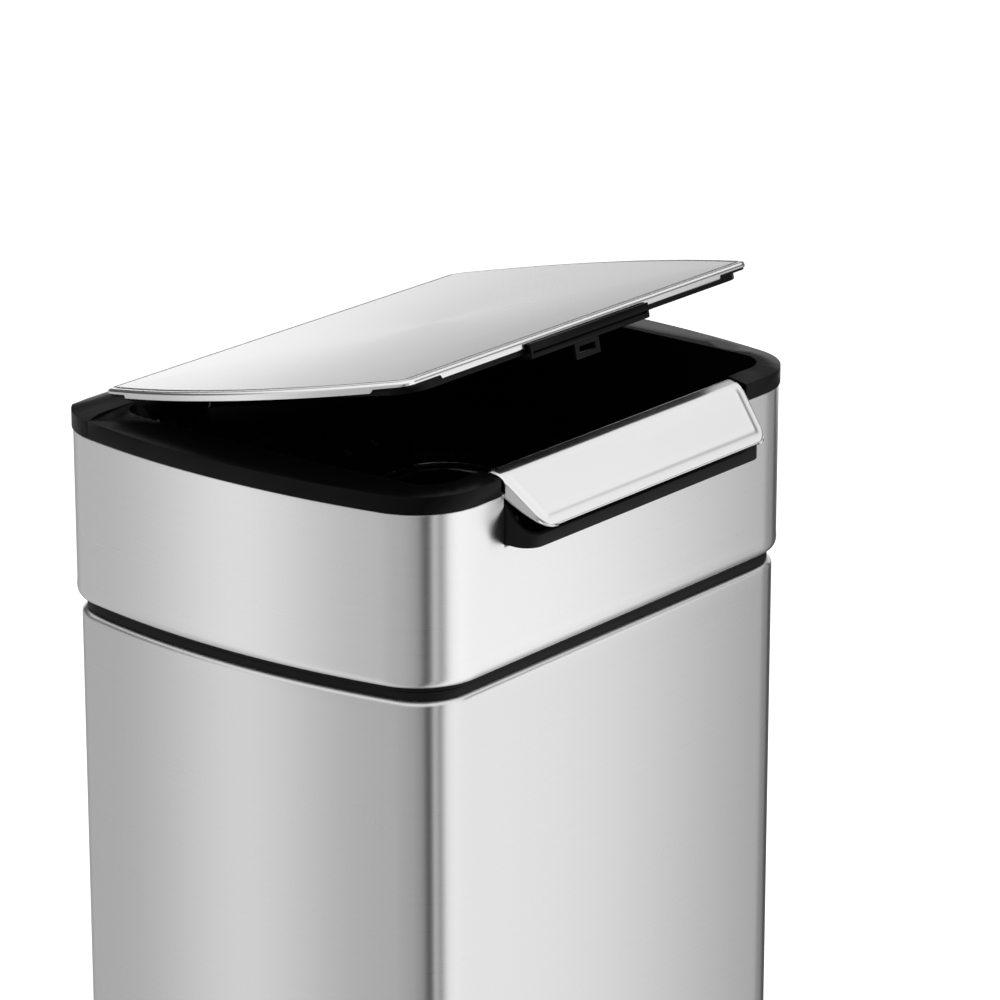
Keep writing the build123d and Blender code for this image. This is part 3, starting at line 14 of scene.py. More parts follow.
import bmesh
import bpy
import numpy as np
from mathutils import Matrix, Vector


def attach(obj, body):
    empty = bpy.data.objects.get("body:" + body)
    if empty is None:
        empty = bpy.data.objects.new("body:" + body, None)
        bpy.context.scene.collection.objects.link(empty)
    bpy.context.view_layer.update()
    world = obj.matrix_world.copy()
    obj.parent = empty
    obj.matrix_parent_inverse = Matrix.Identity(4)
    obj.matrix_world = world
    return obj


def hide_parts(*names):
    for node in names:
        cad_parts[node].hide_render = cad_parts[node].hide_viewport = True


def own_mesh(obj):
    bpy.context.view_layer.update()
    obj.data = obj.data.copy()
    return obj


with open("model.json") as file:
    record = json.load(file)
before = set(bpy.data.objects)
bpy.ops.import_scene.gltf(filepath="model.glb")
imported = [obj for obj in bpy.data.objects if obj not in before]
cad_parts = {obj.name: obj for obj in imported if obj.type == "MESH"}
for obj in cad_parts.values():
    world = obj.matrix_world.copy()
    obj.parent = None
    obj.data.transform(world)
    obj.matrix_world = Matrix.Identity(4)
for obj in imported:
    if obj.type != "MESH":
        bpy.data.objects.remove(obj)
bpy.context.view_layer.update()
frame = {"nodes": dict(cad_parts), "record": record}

log = logging.getLogger("bin")
Array = np.ndarray
Number = float | int
Triple = tuple[float, float, float]

MM = 0.001
EVEN = (1.0, 1.0, 1.0)
MIX_DARK, MIX_LIGHT, MIX_RESULT = 6, 7, 2  # colour sockets of the Mix node
SLOTS = {entry["node"]: entry["material_slot"] for entry in frame["record"]["subparts"]}


def grey(level: float) -> tuple[float, float, float, float]:
    """Opaque grey of one level."""
    return level, level, level, 1.0


WHITE = grey(1.0)


# ------------------------------------------------------------------ shader maths
class Value:
    """A shader socket that can be used in sums."""

    def __init__(self, graph: "Graph", socket: bpy.types.NodeSocket) -> None:
        """Keep the socket and the graph it belongs to."""
        self.graph = graph
        self.socket = socket

    def _sum(self, operation: str, left: "Value | Number", right: "Value | Number") -> "Value":
        """Add a Math node for one operation on two terms."""
        node = self.graph.node("ShaderNodeMath", {"operation": operation}, {0: left, 1: right})
        return Value(self.graph, node.outputs[0])

    def __add__(self, other: "Value | Number") -> "Value":
        """Sum."""
        return self._sum("ADD", self, other)

    __radd__ = __add__

    def __sub__(self, other: "Value | Number") -> "Value":
        """Difference."""
        return self._sum("SUBTRACT", self, other)

    def __rsub__(self, other: Number) -> "Value":
        """Difference taken from a number."""
        return self._sum("SUBTRACT", other, self)

    def __mul__(self, other: "Value | Number") -> "Value":
        """Product."""
        return self._sum("MULTIPLY", self, other)

    __rmul__ = __mul__

    def __truediv__(self, other: "Value | Number") -> "Value":
        """Quotient."""
        return self._sum("DIVIDE", self, other)

    def __neg__(self) -> "Value":
        """The value with its sign turned."""
        return self * -1.0

    def above(self, low: Number, high: Number) -> "Value":
        """Smooth step: 0 under low, 1 over high."""
        node = self.graph.node("ShaderNodeMapRange", {"interpolation_type": "SMOOTHSTEP"},
                               {"Value": self, "From Min": low, "From Max": high})
        return Value(self.graph, node.outputs["Result"])


class Graph:
    """A node tree that is filled by one method."""

    def __init__(self, tree: bpy.types.NodeTree) -> None:
        """Empty the tree before it is filled."""
        self.tree = tree
        tree.nodes.clear()

    def node(self, kind: str, settings: dict | None = None, sockets: dict | None = None) -> bpy.types.Node:
        """Add one node.

        Args:
            kind: the node's type name.
            settings: its properties, or the stops of a ramp, set before its sockets.
            sockets: its inputs by name or number, as values or as links.

        Returns:
            The new node.
        """
        node = self.tree.nodes.new(kind)
        for name, value in (settings or {}).items():
            if name == "stops":
                self._stops(node.color_ramp, value)
            else:
                setattr(node, name, value)
        for key, value in (sockets or {}).items():
            if isinstance(value, Value):
                self.tree.links.new(value.socket, node.inputs[key])
            elif isinstance(value, bpy.types.NodeSocket):
                self.tree.links.new(value, node.inputs[key])
            else:
                node.inputs[key].default_value = value
        return node

    @staticmethod
    def _stops(ramp: bpy.types.ColorRamp, stops: Sequence[tuple[float, float]]) -> None:
        """Write grey stops, as pairs of place and level, into a colour ramp."""
        while len(ramp.elements) < len(stops):
            ramp.elements.new(0.5)
        for element, (place, _) in zip(ramp.elements, stops):
            element.position = place
        for element, (_, level) in zip(ramp.elements, stops):
            element.color = grey(level)

    def out(self, node: bpy.types.Node, name: str | int = 0) -> Value:
        """One output of a node as a value."""
        return Value(self, node.outputs[name])

    def axes(self, output: str) -> tuple[Value, Value, Value]:
        """The x, y and z of one kind of texture coordinates."""
        coords = self.node("ShaderNodeTexCoord").outputs[output]
        parts = self.node("ShaderNodeSeparateXYZ", None, {0: coords})
        return self.out(parts, "X"), self.out(parts, "Y"), self.out(parts, "Z")

    def place(self, scale: Triple = EVEN) -> Value:
        """Object coordinates, stretched by three scales."""
        coords = self.node("ShaderNodeTexCoord").outputs["Object"]
        return self.out(self.node("ShaderNodeMapping", None, {"Vector": coords, "Scale": scale}), "Vector")

    def noise(self, vector: Value, scale: float, detail: float = 2.0, roughness: float = 0.5) -> Value:
        """Soft noise about one half."""
        node = self.node("ShaderNodeTexNoise", None,
                         {"Vector": vector, "Scale": scale, "Detail": detail, "Roughness": roughness})
        return self.out(node, "Fac")

    def bump(self, height: Value, depth: float, strength: float = 1.0) -> Value:
        """Normal from a height field; depth in metres."""
        node = self.node("ShaderNodeBump", None,
                         {"Height": height, "Distance": depth, "Strength": strength})
        return self.out(node, "Normal")

    def tint(self, factor: Value, dark: Sequence[float], light: Sequence[float]) -> Value:
        """Colour between two colours."""
        node = self.node("ShaderNodeMix", {"data_type": "RGBA"},
                         {"Factor": factor, MIX_DARK: (*dark, 1.0), MIX_LIGHT: (*light, 1.0)})
        return self.out(node, MIX_RESULT)

    def finish(self, kind: str, shader: bpy.types.Node) -> None:
        """Join a shader to an output node."""
        self.node(kind, None, {"Surface": shader.outputs[0]})


def fresh(blocks: bpy.types.bpy_prop_collection, name: str) -> tuple[bpy.types.ID, Graph]:
    """New material or world, and the graph of its empty node tree."""
    made = blocks.new(name)
    made.use_nodes = True
    return made, Graph(made.node_tree)


# ------------------------------------------------------------------ finishes
@dataclass(frozen=True)
class Finish:
    """A surface whose sockets are filled by a child class."""

    name: str

    def sockets(self, graph: Graph) -> dict:
        """Inputs of the Principled shader."""
        raise NotImplementedError

    def material(self) -> bpy.types.Material:
        """Make the material."""
        material, graph = fresh(bpy.data.materials, self.name)
        shader = graph.node("ShaderNodeBsdfPrincipled", None, self.sockets(graph))
        graph.finish("ShaderNodeOutputMaterial", shader)
        return material


class Brush(Enum):
    """Which way the steel was brushed, as stretches of the grain along X, Y and Z."""

    AROUND = (7.0, 7.0, 2200.0)
    ACROSS = (7.0, 2200.0, 1400.0)


@dataclass(frozen=True)
class BrushedSteel(Finish):
    """Satin steel with fine parallel brush lines."""

    brush: Brush
    tone: float = 0.86
    roughness: float = 0.28
    anisotropy: float = 0.85
    turned: float = 0.25
    grit_scale: Triple = (1400.0, 1400.0, 1400.0)
    broader: float = 7.0
    line_depth: float = 0.00001

    def sockets(self, graph: Graph) -> dict:
        """Brush lines are noise stretched along the brushing; they move the tone, gloss and height."""
        lines = graph.noise(graph.place(self.brush.value), 1.0, 3.0, 0.65)
        broad = graph.noise(graph.place(tuple(v / self.broader for v in self.brush.value)), 1.0, 2.0)
        grit = graph.noise(graph.place(self.grit_scale), 1.0, 1.0)
        mixed = lines * 0.6 + broad * 0.25 + grit * 0.15
        dark = (self.tone * 0.985, self.tone * 0.985, self.tone * 0.988)
        light = (self.tone * 1.012,) * 3
        return {
            "Base Color": graph.tint(mixed.above(0.25, 0.75), dark, light),
            "Metallic": 1.0,
            "Roughness": mixed * 0.05 + (self.roughness - 0.025),
            "Anisotropic": self.anisotropy,
            "Anisotropic Rotation": self.turned,
            "Normal": graph.bump(mixed, self.line_depth, 0.3),
        }


@dataclass(frozen=True)
class Moulded(Finish):
    """Moulded plastic or rubber with a fine grain and slightly uneven gloss; also the near-black painted
    shade on the inner faces of the steel walls.
    """

    tone: Triple
    roughness: float
    specular: float
    grain: float = 900.0
    depth: float = 0.00004
    cloud_scale: float = 18.0

    def sockets(self, graph: Graph) -> dict:
        """Grain is fine noise; large soft noise shifts the tone and gloss a little."""
        fine = graph.noise(graph.place(), self.grain, 2.0)
        cloud = graph.noise(graph.place(), self.cloud_scale, 3.0)
        dark = tuple(v * 0.8 for v in self.tone)
        light = tuple(v * 1.25 for v in self.tone)
        return {
            "Base Color": graph.tint(cloud * 0.7 + fine * 0.3, dark, light),
            "Roughness": cloud * 0.1 + fine * 0.06 + (self.roughness - 0.08),
            "Specular IOR Level": self.specular,
            "Normal": graph.bump(fine, self.depth),
        }


@dataclass(frozen=True)
class Plated(Finish):
    """Zinc-plated or oiled steel of hinges, screws and springs."""

    tone: float
    roughness: float
    cell_scale: float = 260.0
    grain: float = 700.0
    depth: float = 0.00004

    def sockets(self, graph: Graph) -> dict:
        """Spangle is coarse cell noise that moves tone and gloss."""
        cells = graph.node("ShaderNodeTexVoronoi", {"feature": "SMOOTH_F1"},
                           {"Vector": graph.place(), "Scale": self.cell_scale})
        spangle = graph.out(cells, "Distance")
        fine = graph.noise(graph.place(), self.grain, 2.0)
        dark, light = (self.tone * 0.85,) * 3, (self.tone * 1.1,) * 3
        return {
            "Base Color": graph.tint(spangle * 0.6 + fine * 0.4, dark, light),
            "Metallic": 1.0,
            "Roughness": spangle * 0.1 + fine * 0.1 + (self.roughness - 0.08),
            "Normal": graph.bump(fine, self.depth),
        }


@dataclass(frozen=True)
class BagFilm(Finish):
    """Thin black film with small creases; its colour is painted lighter on the raised creases and darker in
    their hollows, as painted sheen and shade.
    """

    dark: Triple = (0.002, 0.002, 0.0022)
    light: Triple = (0.006, 0.006, 0.0065)
    crease_scale: Triple = (60.0, 60.0, 14.0)
    crinkle_scale: float = 300.0
    depth: float = 0.0012

    def sockets(self, graph: Graph) -> dict:
        """Creases are stretched noise along Z plus fine crinkle; the crease noise also sets the colour, as
        painted sheen on the folds and painted shade between them.
        """
        creases = graph.noise(graph.place(self.crease_scale), 1.0, 4.0, 0.6)
        crinkle = graph.noise(graph.place(), self.crinkle_scale, 2.0)
        return {
            # Painted sheen and shade: the colour follows the crease height.
            "Base Color": graph.tint(creases, self.dark, self.light),
            "Roughness": creases * 0.2 + 0.3,
            "Specular IOR Level": 0.09,
            "Normal": graph.bump(creases * 0.8 + crinkle * 0.2, self.depth, 0.6),
        }


class Finishes:
    """All finishes of the bin, made once and shared."""

    def __init__(self) -> None:
        """Make every material."""
        flat_steel = BrushedSteel("steel brushed across", Brush.ACROSS, roughness=0.2, anisotropy=0.2)
        self.steel = BrushedSteel("steel brushed around", Brush.AROUND).material()
        # Painted shade: the body's steel is the band's steel at a lower tone (0.76 against 0.86), so the
        # lower body renders darker.
        self.steel_painted_shade = BrushedSteel("body steel brushed around, painted shade", Brush.AROUND, tone=0.76).material()
        self.steel_flat = flat_steel.material()
        # Painted shade: a near-black finish for the inner faces of the steel walls, standing for the shade
        # inside them.
        self.inside_painted_shade = Moulded("black painted shade inside", (0.004, 0.004, 0.0042), 0.45, 0.12).material()
        self.film = BagFilm("black bag film").material()
        self.by_slot = {
            "brushed_steel": self.steel,
            "black_plastic": Moulded("black satin plastic", (0.0025, 0.0025, 0.0026), 0.32, 0.1).material(),
            "dark_grey_plastic": Moulded("dark grey plastic", (0.008, 0.008, 0.0085), 0.5, 0.15).material(),
            "rubber": Moulded("black rubber", (0.006, 0.006, 0.006), 0.75, 0.15, grain=500.0).material(),
            "bag_film": self.film,
            "zinc_steel": Plated("zinc plate", 0.6, 0.38).material(),
            "spring_steel": Plated("oiled spring wire", 0.35, 0.3).material(),
        }


# ------------------------------------------------------------------ meshes
GRID_WELD = 0.000002  # metres
NODE_WELD = 0.000004
FLAT_ANGLE = 0.6  # degrees between faces that count as one


def dress(obj: bpy.types.Object, material: bpy.types.Material) -> None:
    """Give a piece one material."""
    obj.data.materials.clear()
    obj.data.materials.append(material)


def shown(name: str, data: bpy.types.ID) -> bpy.types.Object:
    """Put a mesh, a lamp or a camera into the scene as an object."""
    obj = bpy.data.objects.new(name, data)
    bpy.context.scene.collection.objects.link(obj)
    return obj


def thickened(obj: bpy.types.Object, thickness: float, offset: float = -1.0) -> bpy.types.Modifier:
    """Give a skin its sheet thickness in millimetres, inwards unless the offset says otherwise."""
    solid = obj.modifiers.new("sheet", "SOLIDIFY")
    solid.thickness = thickness * MM
    solid.offset = offset
    return solid


def grid_piece(
    name: str, points: Array, closed: bool = True, keep: Array | None = None
) -> bpy.types.Object:
    """Turn a grid of points into a smooth quad mesh.

    Args:
        name: the object's name.
        points: rows x columns x 3, in millimetres; faces look out when columns run
            counter-clockwise and rows run up.
        closed: whether the last column joins the first.
        keep: rows x columns mask of points; a face stays if all its corners are kept.

    Returns:
        The new object, with its place in its mesh.
    """
    rows, columns = points.shape[:2]
    index = np.arange(rows * columns).reshape(rows, columns)
    right = np.roll(index, -1, axis=1) if closed else index[:, 1:]
    left = index if closed else index[:, :-1]
    quads = np.stack([left[:-1], right[:-1], right[1:], left[1:]], axis=-1).reshape(-1, 4)
    if keep is not None:
        quads = quads[keep.reshape(-1)[quads].all(axis=1)]
    mesh = bpy.data.meshes.new(name)
    mesh.vertices.add(rows * columns)
    mesh.vertices.foreach_set("co", (points * MM).astype(np.float32).ravel())
    mesh.loops.add(quads.size)
    mesh.loops.foreach_set("vertex_index", quads.astype(np.int32).ravel())
    mesh.polygons.add(len(quads))
    mesh.polygons.foreach_set("loop_start", np.arange(0, quads.size, 4, dtype=np.int32))
    mesh.polygons.foreach_set("use_smooth", np.ones(len(quads), bool))
    mesh.update(calc_edges=True)
    mesh.validate()
    work = bmesh.new()
    work.from_mesh(mesh)
    bmesh.ops.remove_doubles(work, verts=work.verts, dist=GRID_WELD)
    bmesh.ops.delete(work, geom=[v for v in work.verts if not v.link_faces], context="VERTS")
    work.to_mesh(mesh)
    work.free()
    return shown(name, mesh)


def softened(node: str, width: float, angle: float = 32.0) -> bpy.types.Object:
    """Copy of a CAD node with welded points and small rounded edges.

    Args:
        node: the CAD node that the copy stands for.
        width: rounding of its sharp edges in millimetres.
        angle: edges sharper than this many degrees are rounded.

    Returns:
        The new object; the CAD node is hidden.
    """
    mesh = frame["nodes"][node].data.copy()
    work = bmesh.new()
    work.from_mesh(mesh)
    bmesh.ops.remove_doubles(work, verts=work.verts, dist=NODE_WELD)
    flat = math.radians(FLAT_ANGLE)
    bmesh.ops.dissolve_limit(work, angle_limit=flat, verts=work.verts, edges=work.edges)
    work.to_mesh(mesh)
    work.free()
    obj = shown(node + "_soft", mesh)
    mesh.shade_smooth()
    bevel = obj.modifiers.new("edges", "BEVEL")
    bevel.width = width * MM
    bevel.segments = 2
    bevel.limit_method = "ANGLE"
    bevel.angle_limit = math.radians(angle)
    bevel.harden_normals = True
    bevel.use_clamp_overlap = True
    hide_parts(node)
    return obj


def arc(centre: tuple[float, float], radius: float, start: float, end: float, steps: int) -> Array:
    """Points on a circle from one angle to another, in degrees."""
    angles = np.radians(np.linspace(start, end, steps))
    return np.c_[centre[0] + radius * np.cos(angles), centre[1] + radius * np.sin(angles)]


def bell(distance: Array, width: float) -> Array:
    """Smooth hump: 1 at distance 0, fading over the width."""
    return np.exp(-((distance / width) ** 2))


def at_height(points: Array, z: float) -> Array:
    """Points of x and y, all raised to one z."""
    return np.c_[points, np.full(len(points), z)]


@dataclass(frozen=True)
class Outline:
    """Rounded rectangle with flat front and back and sides that bow outwards."""

    half_x: float
    front_y: float
    back_y: float
    bow: float
    corner: float
    cuts: tuple[float, ...] = ()
    step: float = 2.5
    corner_steps: int = 30
    side_steps: int = 110

    def around(self, inset: float) -> Array:
        """Points counter-clockwise from the middle of the back.

        The flats keep their x, the corners and sides keep their centres and angles, and only
        the radii shrink by the inset, so equal columns of two insets face each other squarely.

        Args:
            inset: distance from the outer line, inwards.

        Returns:
            Columns x 2 array of x and y.
        """
        half_y = (self.back_y - self.front_y) / 2
        middle = (self.back_y + self.front_y) / 2
        side_r = (half_y**2 + self.bow**2) / (2 * self.bow)
        side_x = side_r - self.half_x - self.bow
        corner_y = half_y - self.corner
        corner_x = math.sqrt((side_r - self.corner) ** 2 - corner_y**2) - side_x
        turn = math.atan2(corner_y, corner_x + side_x)
        flat = np.unique(np.concatenate([np.linspace(0, corner_x, int(corner_x / self.step)), self.cuts]))
        corner = np.linspace(math.pi / 2, turn, self.corner_steps)[1:]
        side = np.linspace(turn, -turn, self.side_steps)[1:]
        back = np.c_[flat, np.full(len(flat), half_y - inset)]
        bend = np.c_[corner_x + (self.corner - inset) * np.cos(corner),
                     corner_y + (self.corner - inset) * np.sin(corner)]
        wall = np.c_[(side_r - inset) * np.cos(side) - side_x, (side_r - inset) * np.sin(side)]
        right = np.vstack([back, bend, wall, bend[::-1][1:] * (1, -1), back[::-1] * (1, -1)])
        left = right[1:-1] * (-1, 1)
        return np.vstack([left, right[::-1]]) + (0, middle)

    def sweep(self, profile: Array) -> Array:
        """Carry a profile of inset and height round the outline.

        Args:
            profile: rows x 2 array of inset and z.

        Returns:
            Rows x columns x 3 grid.
        """
        return np.stack([at_height(self.around(inset), z) for inset, z in profile])


BAR_BAY = (119.3, 603.2)  # half width and floor of the bay for the push bar
STRIKER_HALF = 59.3
RELIEF_X = 140.0
BODY = Outline(178.0, -150.0, 150.0, 20.0, 35.0)
HEAD = Outline(182.0, -154.0, 154.0, 20.0, 45.0, cuts=(BAR_BAY[0],))
LID = Outline(170.6, -137.2, 110.7, 19.0, 10.0, cuts=(STRIKER_HALF, RELIEF_X), step=2.0)
LID_HINGE = np.array([0.0, 141.6, 606.3])
LID_OPEN = math.radians(11.7)
SNAP = 0.1  # how near to a cut a point of the grid counts as on it


def opened(points: Array) -> Array:
    """Turn shut lid points about the lid's hinge to the angle at which the lid rests."""
    away = points - LID_HINGE
    c, s = math.cos(LID_OPEN), math.sin(LID_OPEN)
    turned = np.stack([away[..., 0], away[..., 1] * c + away[..., 2] * s,
                       away[..., 2] * c - away[..., 1] * s], axis=-1)
    return turned + LID_HINGE


# ------------------------------------------------------------------ sub-assemblies
@dataclass
class SteelWall:
    """A steel sleeve with rolled ends, such as the body or the head's band."""

    node: str
    body: str
    outline: Outline
    low: float
    high: float
    low_roll: float
    low_lip: float
    high_roll: float
    high_lip: float
    sheet: float = 1.0
    skin: float = 0.9
    rise: float = 5.0
    bead: float = 0.0
    bead_height: float = 1.5
    bead_width: float = 1.6
    notch: tuple[float, float] | None = None

    def profile(self) -> Array:
        """Inset and height along the outer skin: lip, quarter circle, wall, quarter circle, lip."""
        low, high = self.low, self.high
        bottom = arc((self.low_roll, low + self.low_roll), self.low_roll, 270, 180, 14)
        top = arc((self.high_roll, high - self.high_roll), self.high_roll, 180, 90, 12)
        levels = np.arange(low + self.low_roll + 1.0, high - self.high_roll - 0.5, self.rise)
        if self.notch:
            levels = np.unique(np.append(levels, self.notch[1]))
        wall = np.c_[np.zeros(len(levels)), levels]
        inner_low = [(self.low_lip, low + self.sheet), (self.low_lip, low), (self.low_lip - 0.5, low)]
        lip = self.high_lip
        inner_high = [(lip - 0.4, high), (lip, high), (lip, high - self.sheet)]
        rows = np.vstack([inner_low, bottom, wall, top, inner_high])
        height = rows[:, 1] - (low + self.low_roll + self.bead_height)
        rows[:, 0] -= self.bead * bell(height, self.bead_width)
        return rows

    def build(self, finishes: Finishes) -> bpy.types.Object:
        """Sweep the profile round the outline and cut the bay for the push bar."""
        grid = self.outline.sweep(self.profile())
        keep = None
        if self.notch:
            half, level = self.notch
            inside = np.abs(grid[..., 0]) < half - SNAP
            above = grid[..., 2] > level + SNAP
            keep = ~(inside & above & (grid[..., 1] < 0))
        obj = grid_piece(self.node + "_skin", grid, keep=keep)
        solid = thickened(obj, self.sheet * self.skin)
        # The body's skin takes the darker steel, which is painted shade; the band takes the plain steel.
        dress(obj, finishes.steel_painted_shade if self.body == "bin_body" else finishes.steel)
        # The sheet's inner faces take the near-black painted shade.
        obj.data.materials.append(finishes.inside_painted_shade)
        solid.material_offset = 1
        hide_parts(self.node)
        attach(obj, self.body)
        return obj


@dataclass
class LidSkin:
    """Steel lid: flat crowned top, crease, rolled bead and a short flange with relieved corners."""

    flange_z: float = 650.0
    edge_z: float = 655.5
    roll: float = 2.2
    crease: float = 5.0
    groove: float = 0.4
    groove_half: float = 0.75
    bead_start: float = 0.4
    bead_step: float = 0.1
    bead_blend: float = 2.0
    crown: float = 0.35
    rings: int = 26
    relief: float = 2.3
    relief_y: tuple[float, float] = (-115.0, 88.0)
    striker_y: float = -130.0
    striker_z: float = 652.7
    sheet: float = 0.8

    def profile(self) -> Array:
        """Inset and height: folded lip, flange, rolled edge, then the crease."""
        edge = arc((self.roll, self.edge_z - self.roll), self.roll, 180, 90, 14)
        flange = np.c_[np.zeros(5), np.linspace(self.flange_z, self.edge_z - self.roll - 0.4, 5)]
        lip = np.array([(1.0, self.flange_z + 0.6), (1.0, self.flange_z), (0.3, self.flange_z)])
        inset = np.linspace(self.roll + 0.3, self.crease + 3.0, self.rings)
        past = np.clip((inset - self.crease - self.bead_start) / self.bead_blend, 0, 1)
        step = 0.5 * (1 - np.cos(past * math.pi))
        groove = self.groove * bell(inset - self.crease, self.groove_half)
        rise = np.c_[inset, self.edge_z - groove + self.bead_step * step]
        return np.vstack([lip, flange, edge, rise])

    def build(self, finishes: Finishes) -> bpy.types.Object:
        """Profile rows round the outline, then rings that shrink to the middle of the top."""
        grid = LID.sweep(self.profile())
        last = grid[-1]
        middle = np.array([0.0, (LID.front_y + LID.back_y) / 2, last[0, 2]])
        scale = np.linspace(1, 0, self.rings)[1:]
        top = middle + (last[None] - middle) * scale[:, None, None]
        top[..., 2] += self.crown * (1 - scale[:, None] ** 2)
        grid = np.concatenate([grid, top])
        x, y, z = np.abs(grid[..., 0]), grid[..., 1], grid[..., 2]
        corner = (x > RELIEF_X - SNAP) & ((y < self.relief_y[0]) | (y > self.relief_y[1]))
        lifted = self.flange_z + self.relief
        z[:] = np.where(corner & (z < lifted), lifted, z)
        striker = (x < STRIKER_HALF + SNAP) & (y < self.striker_y)
        z[:] = np.where(striker & (z < self.striker_z), self.striker_z, z)
        obj = grid_piece("lid_skin_dressed", opened(grid))
        thickened(obj, self.sheet)
        dress(obj, finishes.steel_flat)
        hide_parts("lid_skin")
        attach(obj, "lid")
        return obj


@dataclass
class PushBar:
    """Steel bar: rolled inner edge, knee, sloping face, folded crescent ends, bead inside the border."""

    top_half: float = 121.0
    foot_half: float = 112.0
    taper_from: float = 6.0
    inner: tuple[float, float] = (-141.3, 641.0)
    shoulder: tuple[float, float] = (-141.3, 648.9)
    knee: tuple[float, float] = (-152.3, 646.8)
    foot: tuple[float, float] = (-181.0, 618.0)
    flange_inner: tuple[float, float] = (-145.3, 642.0)
    sag: tuple[float, float] = (-163.9, 626.7)
    shoulder_roll: float = 3.2
    knee_roll: float = 10.0
    corner: float = 10.0
    edge_roll: float = 1.4
    border: float = 7.0
    border_step: float = 0.25
    border_blend: float = 1.5
    ridge: float = 0.08
    ridge_in: float = 1.4
    ridge_width: float = 1.6
    face_from: float = 150.0
    face_blend: float = 6.0
    sheet: float = 0.9
    columns: int = 90
    curve_steps: int = 12
    face_steps: int = 44

    @staticmethod
    def _fillet(a: Array, b: Array, c: Array, radius: float, steps: int) -> Array:
        """Points on the arc that rounds the corner b between a and c."""
        u, v = (a - b) / np.linalg.norm(a - b), (c - b) / np.linalg.norm(c - b)
        half = math.acos(float(np.clip(u @ v, -1, 1))) / 2
        reach = radius / math.tan(half)
        centre = b + (u + v) / np.linalg.norm(u + v) * (radius / math.sin(half))
        first, last = b + u * reach - centre, b + v * reach - centre
        t = np.linspace(0, 1, steps)[:, None]
        blend = first * (1 - t) + last * t
        return centre + blend / np.linalg.norm(blend, axis=1, keepdims=True) * radius

    @staticmethod
    def _to_foot(line: Array) -> Array:
        """Length of the section from each of its points on to the foot."""
        return np.r_[np.cumsum(np.linalg.norm(np.diff(line, axis=0), axis=1)[::-1])[::-1], 0.0]

    def section(self) -> tuple[Array, Array]:
        """Points of the section in y and z, from the inner lip to the foot, and their outward normals."""
        p = [np.array(v) for v in (self.inner, self.shoulder, self.knee, self.foot)]
        first = self._fillet(p[0], p[1], p[2], self.shoulder_roll, self.curve_steps)
        second = self._fillet(p[1], p[2], p[3], self.knee_roll, self.curve_steps)
        lip = p[0] + (first[0] - p[0]) * np.linspace(0, 1, 5)[:-1, None]
        flat = first[-1] + (second[0] - first[-1]) * np.linspace(0, 1, 4)[1:-1, None]
        face = second[-1] + (p[3] - second[-1]) * np.linspace(0, 1, self.face_steps)[1:, None]
        line = np.vstack([lip, first, flat, second, face])
        along = np.gradient(line, axis=0)
        along /= np.linalg.norm(along, axis=1, keepdims=True)
        return line, np.c_[along[:, 1], -along[:, 0]]

    def half_width(self, line: Array) -> Array:
        """Half the bar's length at each section point: tapering, with a round lower corner."""
        top, low = self.shoulder[1] - self.taper_from, self.foot[1]
        share = np.clip((line[:, 1] - low) / (top - low), 0, 1)
        half = self.foot_half + (self.top_half - self.foot_half) * share
        left = np.clip(self.corner - self._to_foot(line), 0, self.corner)
        return half - (self.corner - np.sqrt(self.corner**2 - left**2))

    def flange_edge(self, line: Array) -> Array:
        """Where the end flange stops below each section point: a curve that sags from the straight."""
        chord = np.array(self.foot) - np.array(self.inner)
        share = np.clip(((line - self.inner) @ chord) / (chord @ chord), 0, 1)
        inner, foot, sag = (np.array(v) for v in (self.flange_inner, self.foot, self.sag))
        bow = (sag - inner * 0.5 - foot * 0.5) * 2
        return inner + (foot - inner) * share[:, None] + bow * (2 * share * (1 - share))[:, None]

    def build(self, finishes: Finishes) -> bpy.types.Object:
        """Carry the section along X; the ends roll over and run down to the sagging flange edge."""
        line, normal = self.section()
        half, rest, low = self.half_width(line), self._to_foot(line), self.flange_edge(line)
        on_face = np.clip((-line[:, 0] - self.face_from) / self.face_blend, 0, 1)
        columns = []
        for fraction in np.linspace(0, 1, self.columns):
            x = fraction * (half - self.edge_roll)
            inwards = np.minimum(half - x, rest) - self.border
            drop = self.border_step * (0.5 - 0.5 * np.tanh(inwards / self.border_blend))
            rise = self.ridge * bell(inwards - self.ridge_in, self.ridge_width)
            columns.append(np.c_[x, line - normal * ((drop - rise) * on_face)[:, None]])
        for angle in np.radians(np.linspace(0, 90, 7)[1:]):
            x = half - self.edge_roll * (1 - math.sin(angle))
            drop = self.edge_roll * (1 - math.cos(angle)) + self.border_step * on_face
            columns.append(np.c_[x, line - normal * drop[:, None]])
        top = columns[-1][:, 1:]
        for fraction in np.linspace(0, 1, 6)[1:]:
            columns.append(np.c_[half, top + (low - top) * fraction])
        right = np.stack(columns, axis=1)
        left = right[:, :0:-1] * (-1, 1, 1)
        grid = np.concatenate([left, right], axis=1)
        obj = grid_piece("bar_skin_dressed", grid[::-1], closed=False)
        thickened(obj, self.sheet)
        dress(obj, finishes.steel_flat)
        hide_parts("bar_skin")
        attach(obj, "touch_bar")
        return obj


